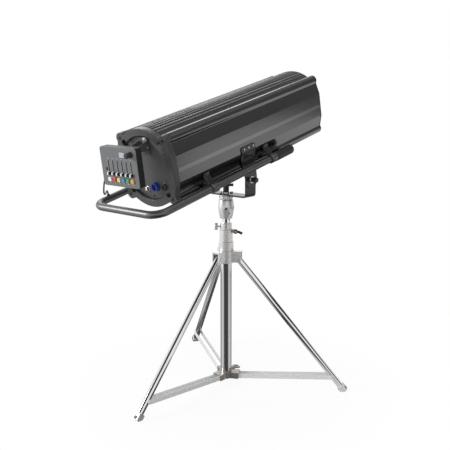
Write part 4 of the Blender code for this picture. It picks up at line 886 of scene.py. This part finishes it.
# The end castings: a grey textured frame round the rear panel, and a black one round the front lens.
# Socket screws in their corners hold the extrusions between them.
grey_casting = finish(
    "grey_casting", (grey(0.048, 0.02), grey(0.060, 0.02)), (0.28, 0.38), specular=0.55,
    cloud=14, grain=1500, depth=0.25,
)
housing_back = -0.395
housing_front = 0.501
corner_screw_y = 0.104
corner_screw_z = 0.102
corner_screw_radius = 0.0062
corner_screw_height = 0.0012
softened("rear_bezel", "rear_frame", grey_casting, 0.0015, 3)
softened("front_bezel", "front_frame", black_steel, 0.0012, 2)
for name, x, out in (("rear_frame_screws", housing_back, -1), ("front_frame_screws", housing_front, 1)):
    screws = []
    for y in (-corner_screw_y, corner_screw_y):
        for z in (-corner_screw_z, corner_screw_z):
            spot = head_frame @ facing((x, y, z), (out, 0, 0))
            screws.append(socket_screw(spot, corner_screw_radius, corner_screw_height))
    piece(name, screws, black_oxide, "head")

# The rear panel: a grey sheet set back in its frame, with the mains inlet, a data socket and a fuse.
# Small black screws hold it to the frame.
panel_face = -0.380
blue_plastic = finish("blue_plastic", ((0.010, 0.045, 0.34), (0.016, 0.065, 0.42)), (0.28, 0.42), grain=1200)
white_print = finish("white_print", (grey(0.62), grey(0.74)), (0.5, 0.6), cloud=200, grain=900, depth=0.02)
bright_plate = finish("bright_plate", (grey(0.90), grey(0.82)), (0.16, 0.28), metallic=0.7)
contact_metal = finish("contact_metal", (grey(0.72, -0.06), grey(0.60, -0.06)), (0.2, 0.35), metallic=1.0)
sheet_grey = finish(
    "sheet_grey", (grey(0.086, 0.02), grey(0.104, 0.02)), (0.40, 0.54), specular=0.4,
    cloud=14, grain=1500, depth=0.2,
)
softened("rear_panel", "rear_sheet", sheet_grey, 0.0006)
softened("power_inlet", "mains_inlet", blue_plastic, 0.0008)
pin_circle = 0.0052
contact_circle = 0.0042
panel_screw_radius = 0.0034
panel_screw_height = 0.0016


def on_panel(y, z):
    """A frame on the rear panel, facing the operator."""
    return head_frame @ facing((panel_face, y, z), (-1, 0, 0))


def round_ring(line, place, count, radius, first, steps):
    """Turned copies of a profile evenly round a circle, the first at an angle in degrees."""
    spots = [level_at(first + 360 / count * k) * radius for k in range(count)]
    return [turned(line, place @ Matrix.Translation(spot), steps) for spot in spots]


inlet_spot = on_panel(-0.020, -0.068)
socket_spot = on_panel(-0.062, -0.066)
fuse_spot = on_panel(0.026, -0.080)
core_line = [(0, 0.004), (0.0088, 0.004), (0.0094, 0.0046), (0.0094, 0.0056), (0, 0.0056)]
key_block = rounded_block((-0.0022, 0.0075, 0.0052), (0.0022, 0.0108, 0.0128), inlet_spot)
piece("inlet_core", [turned(core_line, inlet_spot, 36), key_block], black_plastic, "head")
pin_line = [(0, 0.0055), (0.0013, 0.0055), (0.0013, 0.0105), (0.0006, 0.0112), (0, 0.0112)]
piece("inlet_pins", round_ring(pin_line, inlet_spot, 3, pin_circle, 90, 16), contact_metal, "head")
ring_line = [(0.0081, 0.0078), (0.0110, 0.0078), (0.0114, 0.0084), (0.0108, 0.0090), (0.0083, 0.0090)]
piece("data_socket_ring", [turned(ring_line, socket_spot, 40, closed=True)], black_plastic, "head")
insert_line = [(0, 0.0022), (0.0078, 0.0022), (0.0078, 0.0036), (0.0070, 0.0042), (0, 0.0042)]
piece("data_socket_insert", [turned(insert_line, socket_spot, 32)], black_plastic, "head")
contacts = round_ring(rod(0.0010, 0.0040, 0.0046), socket_spot, 5, contact_circle, 18, 12)
piece("data_socket_contacts", contacts, contact_metal, "head")
fuse_line = [(0, 0.0102), (0.0052, 0.0102), (0.0066, 0.0094), (0.0074, 0.0010), (0.0092, 0.0002), (0, 0.0002)]
fuse_slot = rounded_block((-0.0044, -0.0007, 0.0098), (0.0044, 0.0007, 0.0108), fuse_spot, 0.0002, 1)
piece("fuse_cap", [turned(fuse_line, fuse_spot, 32), fuse_slot], contact_metal, "head")
index_mark = rounded_block((-0.0042, 0.0135, 0.0001), (0.0042, 0.0155, 0.0004), socket_spot, 0.0001, 1)
piece("socket_index", [index_mark], white_print, "head")
panel_screws = []
for y, z in ((-0.082, 0.050), (0.082, 0.050), (-0.084, -0.040), (0.084, -0.040), (0.0, 0.104), (0.0, -0.104)):
    panel_screws.append(socket_screw(on_panel(y, z), panel_screw_radius, panel_screw_height))
piece("panel_screws", panel_screws, black_oxide, "head")


# The front lens: a thick clear glass disc, curved on both faces and held in the front frame.
# Its glass is faintly blue, as coated lenses are.
lens_middle = 0.48775
lens_radius = 0.098
lens_edge = 0.008
lens_sagitta = 0.008
lens_steps = 12
lens_glass = finish(
    "lens_glass", ((0.86, 0.94, 0.97), (0.92, 0.97, 0.98)), (0.01, 0.03), cloud=6, grain=60, depth=0.0
)
glass_inputs = lens_glass.node_tree.nodes["Principled BSDF"].inputs
glass_inputs["Transmission Weight"].default_value = 1.0
glass_inputs["IOR"].default_value = 1.5
bow = (lens_radius**2 + lens_sagitta**2) / (2 * lens_sagitta)
front_face = []
for k in range(lens_steps + 1):
    angle = math.asin(lens_radius / bow) * k / lens_steps
    front_face.append((bow * math.sin(angle), lens_edge / 2 + lens_sagitta - bow * (1 - math.cos(angle))))
lens_line = front_face + [(radius, -place) for radius, place in reversed(front_face)]
along_beam = head_frame @ Matrix.Translation((lens_middle, 0, 0)) @ across_x
glass_disc = turned(lens_line, along_beam, 72)
piece("front_glass", [glass_disc], lens_glass, "head", "front_lens", sharp=40)


# The optics inside: an aluminium chassis with rails, the finned lamp engine with its fan, the colour wheel
# and two lens carriages. They show only through the front glass and the vent slots.
bare_aluminium = finish(
    "bare_aluminium", (grey(0.58), grey(0.48, 0.01)), (0.30, 0.45), metallic=1.0,
    cloud=40, grain=600, depth=0.04, stretch=(0.15, 1, 1), lean=head_pitch,
)
coated_lens = finish(
    "coated_lens", ((0.05, 0.07, 0.11), (0.08, 0.11, 0.17)), (0.06, 0.12),
    specular=0.8, cloud=12, depth=0.0, coat=0.6,
)


def dress(node, material):
    """Gives a solid that keeps its own shape its finish."""
    solid = frame["nodes"][node]
    solid.data.materials.clear()
    solid.data.materials.append(material)


for node in ("optics_chassis", "light_engine", "colour_wheel"):
    dress(node, bare_aluminium)
dress("cooling_fan", black_plastic)
dress("zoom_lens", coated_lens)
dress("focus_lens", coated_lens)


# The pivot plates: bent and drilled black steel plates on the housing's sides, down to the tilt axis.
# Bright button-head screws fix them through the upper row of holes.
plate_face = 0.1343
upper_hole_z = -0.0365
hole_pitch = 0.027
plate_screw_radius = 0.0042
plate_screw_height = 0.0020
softened("pivot_plate_left", "side_plate_left", black_steel, 0.0006)
softened("pivot_plate_right", "side_plate_right", black_steel, 0.0006)
for side, name in sides:
    screws = []
    for k in (-1, 0, 1):
        spot = head_frame @ facing((k * hole_pitch, side * plate_face, upper_hole_z), (0, side, 0))
        screws.append(socket_screw(spot, plate_screw_radius, plate_screw_height))
    piece(f"plate_screws_{name}", screws, nickel_casting, "head")


# The handle: a bent steel tube round the back of the head, satin black, welded to four straps.
# Each strap is a flange on the housing's lower slope with a web out to a ring on the tube.
handle_tube = finish(
    "handle_tube", (grey(0.160), grey(0.180)), (0.40, 0.46), metallic=1.0, cloud=20, grain=900, depth=0.0,
)
tube_radius = 0.013
tube_half_width = 0.158
tube_drop = -0.106
tube_back = -0.525
tube_front = 0.217
tube_bend = 0.050
tube_sides = 36
bend_steps = 14


def verts_in(geometry):
    """The points among the parts of a form."""
    return [item for item in geometry if isinstance(item, bmesh.types.BMVert)]


def edges_among(geometry, verts):
    """The edges whose two ends are among some points."""
    kept = set(verts)
    edges = [item for item in geometry if isinstance(item, bmesh.types.BMEdge)]
    return [item for item in edges if item.verts[0] in kept and item.verts[1] in kept]


def run_on(form, ring, step):
    """Draws a ring of edges straight on by a step."""
    made = bmesh.ops.extrude_edge_only(form, edges=ring)["geom"]
    verts = verts_in(made)
    bmesh.ops.translate(form, vec=step, verts=verts)
    return edges_among(made, verts)


def bend_on(form, ring, centre):
    """Carries a ring of edges round a quarter bend about the upright through a centre."""
    verts = list({vert for item in ring for vert in item.verts})
    made = bmesh.ops.spin(
        form, geom=verts + ring, cent=centre, axis=up, dvec=(0, 0, 0), angle=-math.pi / 2, steps=bend_steps
    )["geom_last"]
    return edges_among(made, verts_in(made))


def bent_tube():
    """The handle tube with its two bends, closed at both ends."""
    form = bmesh.new()
    start = Matrix.Translation((tube_front, -tube_half_width, tube_drop)) @ across_x
    bmesh.ops.create_circle(form, segments=tube_sides, radius=tube_radius, matrix=start)
    ring = list(form.edges)
    near = tube_back + tube_bend
    inner = tube_half_width - tube_bend
    ring = run_on(form, ring, (near - tube_front, 0, 0))
    ring = bend_on(form, ring, (near, -inner, tube_drop))
    ring = run_on(form, ring, (0, 2 * inner, 0))
    ring = bend_on(form, ring, (near, inner, tube_drop))
    run_on(form, ring, (tube_front - near, 0, 0))
    bmesh.ops.remove_doubles(form, verts=form.verts, dist=1e-6)
    bmesh.ops.holes_fill(form, edges=[item for item in form.edges if item.is_boundary])
    bmesh.ops.recalc_face_normals(form, faces=form.faces)
    form.transform(head_frame)
    return form


def extruded(outline, low, high, place, edge):
    """A flat outline in X and Y given thickness along Z, its edges rounded, then put in place."""
    form = bmesh.new()
    flat = form.faces.new([form.verts.new((x, y, low)) for x, y in outline])
    made = bmesh.ops.extrude_face_region(form, geom=[flat])["geom"]
    bmesh.ops.translate(form, vec=(0, 0, high - low), verts=verts_in(made))
    bmesh.ops.recalc_face_normals(form, faces=form.faces)
    rounded(form, form.edges, edge)
    form.transform(place)
    return form


strap_places = (-0.245, 0.100)
strap_length = 0.030
strap_thickness = 0.004
web_thickness = 0.006
ring_radius = 0.0175
flange_from = 0.12
flange_to = 0.80
web_short = 0.37


def strap_outline(side):
    """The section of a strap across the beam: flange on the slope, web to the tube."""
    slope = Vector((waist[0] - side_corner[0], side_corner[1] - waist[1]))
    run = slope.length
    slope.normalize()
    normal = Vector((-slope.y, slope.x))
    root = Vector((side_corner[0], -side_corner[1]))
    first = root + slope * run * flange_from + normal * seat_gap
    last = root + slope * run * flange_to + normal * seat_gap
    centre = Vector((tube_half_width, tube_drop))
    web = (centre - (first + last) / 2).normalized()
    centre -= web * tube_radius * web_short
    across = Vector((-web.y, web.x)) * web_thickness / 2
    middle = (first + last) / 2 + normal * strap_thickness
    outline = [
        first,
        last,
        last + normal * strap_thickness,
        middle - across,
        centre - across,
        centre + across,
        middle + across,
        first + normal * strap_thickness,
    ]
    return [(side * point.x, point.y) for point in outline]


strap_forms = []
ring_forms = []
half_ring = strap_length / 2 + 0.002
ring_line = [
    (tube_radius - 0.001, -half_ring), (ring_radius - 0.0015, -half_ring),
    (ring_radius - 0.0004, -half_ring + 0.0004), (ring_radius, -half_ring + 0.0015),
    (ring_radius, half_ring - 0.0015), (ring_radius - 0.0004, half_ring - 0.0004),
    (ring_radius - 0.0015, half_ring), (tube_radius - 0.001, half_ring),
]
for place in strap_places:
    for side in (-1, 1):
        ends = (place - strap_length / 2, place + strap_length / 2)
        strap_forms.append(extruded(strap_outline(side), *ends, head_frame @ across_x, 0.0008))
        spot = head_frame @ Matrix.Translation((place, side * tube_half_width, tube_drop)) @ across_x
        ring_forms.append(turned(ring_line, spot, 48, closed=True))
grommet_line = [
    (0.0030, -0.002), (0.006, -0.002), (0.006, 0.0012), (0.0052, 0.0026), (0.0040, 0.0037),
    (0.0030, 0.0040),
]
grommet_spot = head_frame @ Matrix.Translation((-0.453, tube_half_width, tube_drop + tube_radius))
piece("handle_bar", [bent_tube()], handle_tube, "head", "handle_frame", sharp=50)
piece("handle_straps", strap_forms, black_steel, "head")
piece("handle_rings", ring_forms, handle_tube, "head")
piece("cord_grommet", [turned(grommet_line, grommet_spot, 32, closed=True)], black_plastic, "head")


# The grips: soft black rubber sleeves pushed over the ends of the handle tube, round at the nose.
# Shallow rings near the open end and along the length give the hand a hold.
grip_rubber = finish(
    "grip_rubber", (grey(0.016), grey(0.026)), (0.40, 0.56), specular=0.5, cloud=60, grain=1800, depth=0.2
)
grip_radius = 0.0185
grip_bore = 0.0133
grip_start = 0.1173
grip_end = 0.2253
grip_nose = 0.009
grip_rings = 9
grip_groove = 0.0006
ring_pitch = 0.0080
first_ring = 0.012
nose_steps = 7
grip_line = [
    (grip_bore, grip_start), (grip_radius - 0.0020, grip_start),
    (grip_radius - 0.0006, grip_start + 0.0008), (grip_radius, grip_start + 0.0022),
]
for k in range(grip_rings):
    at = grip_start + first_ring + k * ring_pitch
    grip_line += [
        (grip_radius, at), (grip_radius - grip_groove, at + 0.0005),
        (grip_radius - grip_groove, at + 0.0014), (grip_radius, at + 0.0019),
    ]
for k in range(nose_steps + 1):
    angle = math.pi / 2 * k / nose_steps
    across = grip_radius - grip_nose + grip_nose * math.cos(angle)
    grip_line.append((across, grip_end - grip_nose + grip_nose * math.sin(angle)))
grip_line += [(0, grip_end), (0, tube_front + seat_gap), (grip_bore, tube_front + seat_gap)]
for side, name in sides:
    spot = head_frame @ Matrix.Translation((0, side * tube_half_width, tube_drop)) @ across_x
    sleeve = turned(grip_line, spot, 48, closed=True)
    piece(f"grip_sleeve_{name}", [sleeve], grip_rubber, "head", f"handle_grip_{name}")


# The console's hinge: a painted steel bracket on the rear panel with two ears and a pin.
# Two bright knurled screws hold it to the panel.
softened("console_hinge", "hinge_bracket", sheet_grey, 0.0008)
bracket_face = panel_face - 0.0043
hinge_screw_radius = 0.0086
hinge_screw_ridges = 24
screw_line = [
    (0, 0.0), (0.0080, 0.0), (hinge_screw_radius, 0.0006), (hinge_screw_radius, 0.0050),
    (0.0080, 0.0058), (0.0052, 0.0060), (0.0048, 0.0088), (0.0040, 0.0096), (0, 0.0098),
]
hinge_screws = []
for y, z in ((-0.0128, 0.0225), (-0.0128, -0.0050)):
    spot = head_frame @ facing((bracket_face, y, hinge_place.z + z), (-1, 0, 0))
    screw = turned(screw_line, spot, 2 * hinge_screw_ridges)
    hinge_screws.append(knurled(screw, spot, hinge_screw_radius, hinge_screw_ridges))
piece("hinge_screws", hinge_screws, bright_plate, "head", sharp=30)


# The console: a shallow black tray with a grey front panel, hinged to the bracket behind it.
# The panel has a small display, six slots for the faders and six square holes for the buttons.
console_grey = finish(
    "console_grey", (grey(0.130, 0.03), grey(0.160, 0.03)), (0.36, 0.46), cloud=12, grain=1600, depth=0.12
)
tray_black = finish(
    "tray_black", (grey(0.008), grey(0.012)), (0.40, 0.52), specular=0.25, grain=1600, depth=0.12
)
softened("console_box", "console_tray", tray_black, 0.0016, 3)
softened("console_panel", "console_front", console_grey, 0.0007)
panel_x = -0.081
panel_left = 0.0875
panel_top = 0.0225
towards_operator = Matrix(((0, 0, -1, 0), (-1, 0, 0, 0), (0, 1, 0, 0), (0, 0, 0, 1)))


def on_console(right, down):
    """A frame on the console's panel, measured from its top left corner, facing the operator."""
    at = Matrix.Translation((panel_x, panel_left - right, panel_top - down))
    return console_frame @ at @ towards_operator


display_pale = finish(
    "display_pale", ((0.42, 0.40, 0.50), (0.50, 0.49, 0.57)), (0.10, 0.16),
    cloud=25, grain=300, depth=0.0, coat=0.5,
)
display_spot = on_console(0.1085, 0.025)
display_wide, display_high = 0.0135, 0.009
display_rim = 0.0012
display_frame = rounded_block(
    (-display_wide - display_rim, -display_high - display_rim, -0.0002),
    (display_wide + display_rim, display_high + display_rim, 0.0008),
    display_spot, 0.0004,
)
display_glass = rounded_block(
    (-display_wide, -display_high, 0.0003), (display_wide, display_high, 0.0011), display_spot, 0.0002, 1
)
piece("display_frame", [display_frame], black_plastic, "console")
piece("display_window", [display_glass], display_pale, "console")
control_first = 0.036
control_pitch = 0.022
control_count = 6
mark_height = 0.00012
tick_pitch = 0.0088


def mark(length, width, right, down):
    """A thin printed bar on the console's panel that reaches this far to each side of a place."""
    low, high = (-length, -width, 0), (length, width, mark_height)
    return rounded_block(low, high, on_console(right, down), 0.00003, 1)


marks = []
for k in range(control_count):
    right = control_first + k * control_pitch
    marks.append(mark(0.0030, 0.0005, right, 0.0395))
    marks.append(mark(0.0034, 0.0005, right, 0.1212))
    for step in range(6):
        reach = 0.0030 if step % 5 else 0.0045
        marks.append(mark(reach / 2, 0.0002, right - 0.0055, 0.049 + step * tick_pitch))
piece("panel_marks", marks, white_print, "console")


# The console's controls: six fader caps of white and black plastic, six coloured buttons,
# a black encoder knob with a ridged grip and a small rocker switch.
cap_white = finish("cap_white", (grey(0.78), grey(0.86)), (0.30, 0.42), cloud=80, grain=1500, depth=0.08)
fader_rest = 0.090
cap_half = 0.0045
cap_rise = 0.009
cap_split = 0.0016
for k in range(control_count):
    name = f"fader_{k + 1}"
    spot = on_console(control_first + k * control_pitch, fader_rest)
    section = [
        (-0.0065, seat_gap), (0.0065, seat_gap), (0.0040, cap_rise + seat_gap),
        (0.0012, cap_rise + seat_gap), (0, cap_rise - 0.0007), (-0.0012, cap_rise + seat_gap),
        (-0.0040, cap_rise + seat_gap),
    ]
    upright = spot @ across_x
    light = extruded(section, -cap_half, cap_split, upright, 0.0004)
    dark = extruded(section, cap_split, cap_half, upright, 0.0004)
    stem = rounded_block((-0.0017, -0.00325, -0.0103), (0.0017, 0.00325, 0.0010), spot, 0.0003, 1)
    piece(f"{name}_light", [light], cap_white, name, name)
    piece(f"{name}_dark", [dark, stem], black_plastic, name)
button_tones = {
    "white": ((0.74, 0.74, 0.72), (0.82, 0.82, 0.80)),
    "red": ((0.50, 0.030, 0.025), (0.62, 0.050, 0.040)),
    "yellow": ((0.66, 0.52, 0.12), (0.76, 0.62, 0.20)),
    "blue": ((0.030, 0.19, 0.42), (0.050, 0.26, 0.52)),
    "green": ((0.020, 0.30, 0.11), (0.035, 0.40, 0.16)),
    "orange": ((0.70, 0.27, 0.035), (0.80, 0.36, 0.060)),
}
for number, (colour, tones) in enumerate(button_tones.items(), 1):
    cap = finish(f"button_{colour}", tones, (0.22, 0.34), cloud=90, grain=1200, depth=0.05, coat=0.3)
    softened(f"button_{number}", f"button_{number}_cap", cap, 0.0009, 3)
encoder_spot = on_console(0.150, 0.021)
encoder_radius = 0.009
encoder_height = 0.0223
encoder_ridges = 18
encoder_line = [
    (0, -0.0105), (0.003, -0.0105), (0.003, seat_gap), (0.0102, seat_gap), (0.0105, 0.0008),
    (0.0105, 0.0026), (0.0098, 0.0034), (encoder_radius, 0.0040),
    (encoder_radius, encoder_height - 0.0012), (encoder_radius - 0.0006, encoder_height - 0.0004),
    (encoder_radius - 0.0016, encoder_height), (0, encoder_height),
]
encoder = turned(encoder_line, encoder_spot, 4 * encoder_ridges)
knurled(encoder, encoder_spot, encoder_radius, encoder_ridges)
piece("encoder_grip", [encoder], black_plastic, "encoder", "encoder_knob", sharp=30)
rocker_spot = on_console(0.0245, 0.075)
rocker = rounded_block((-0.0024, -0.0046, -0.0002), (0.0024, 0.0046, 0.0030), rocker_spot, 0.0008)
piece("rocker_switch", [rocker], black_plastic, "console")
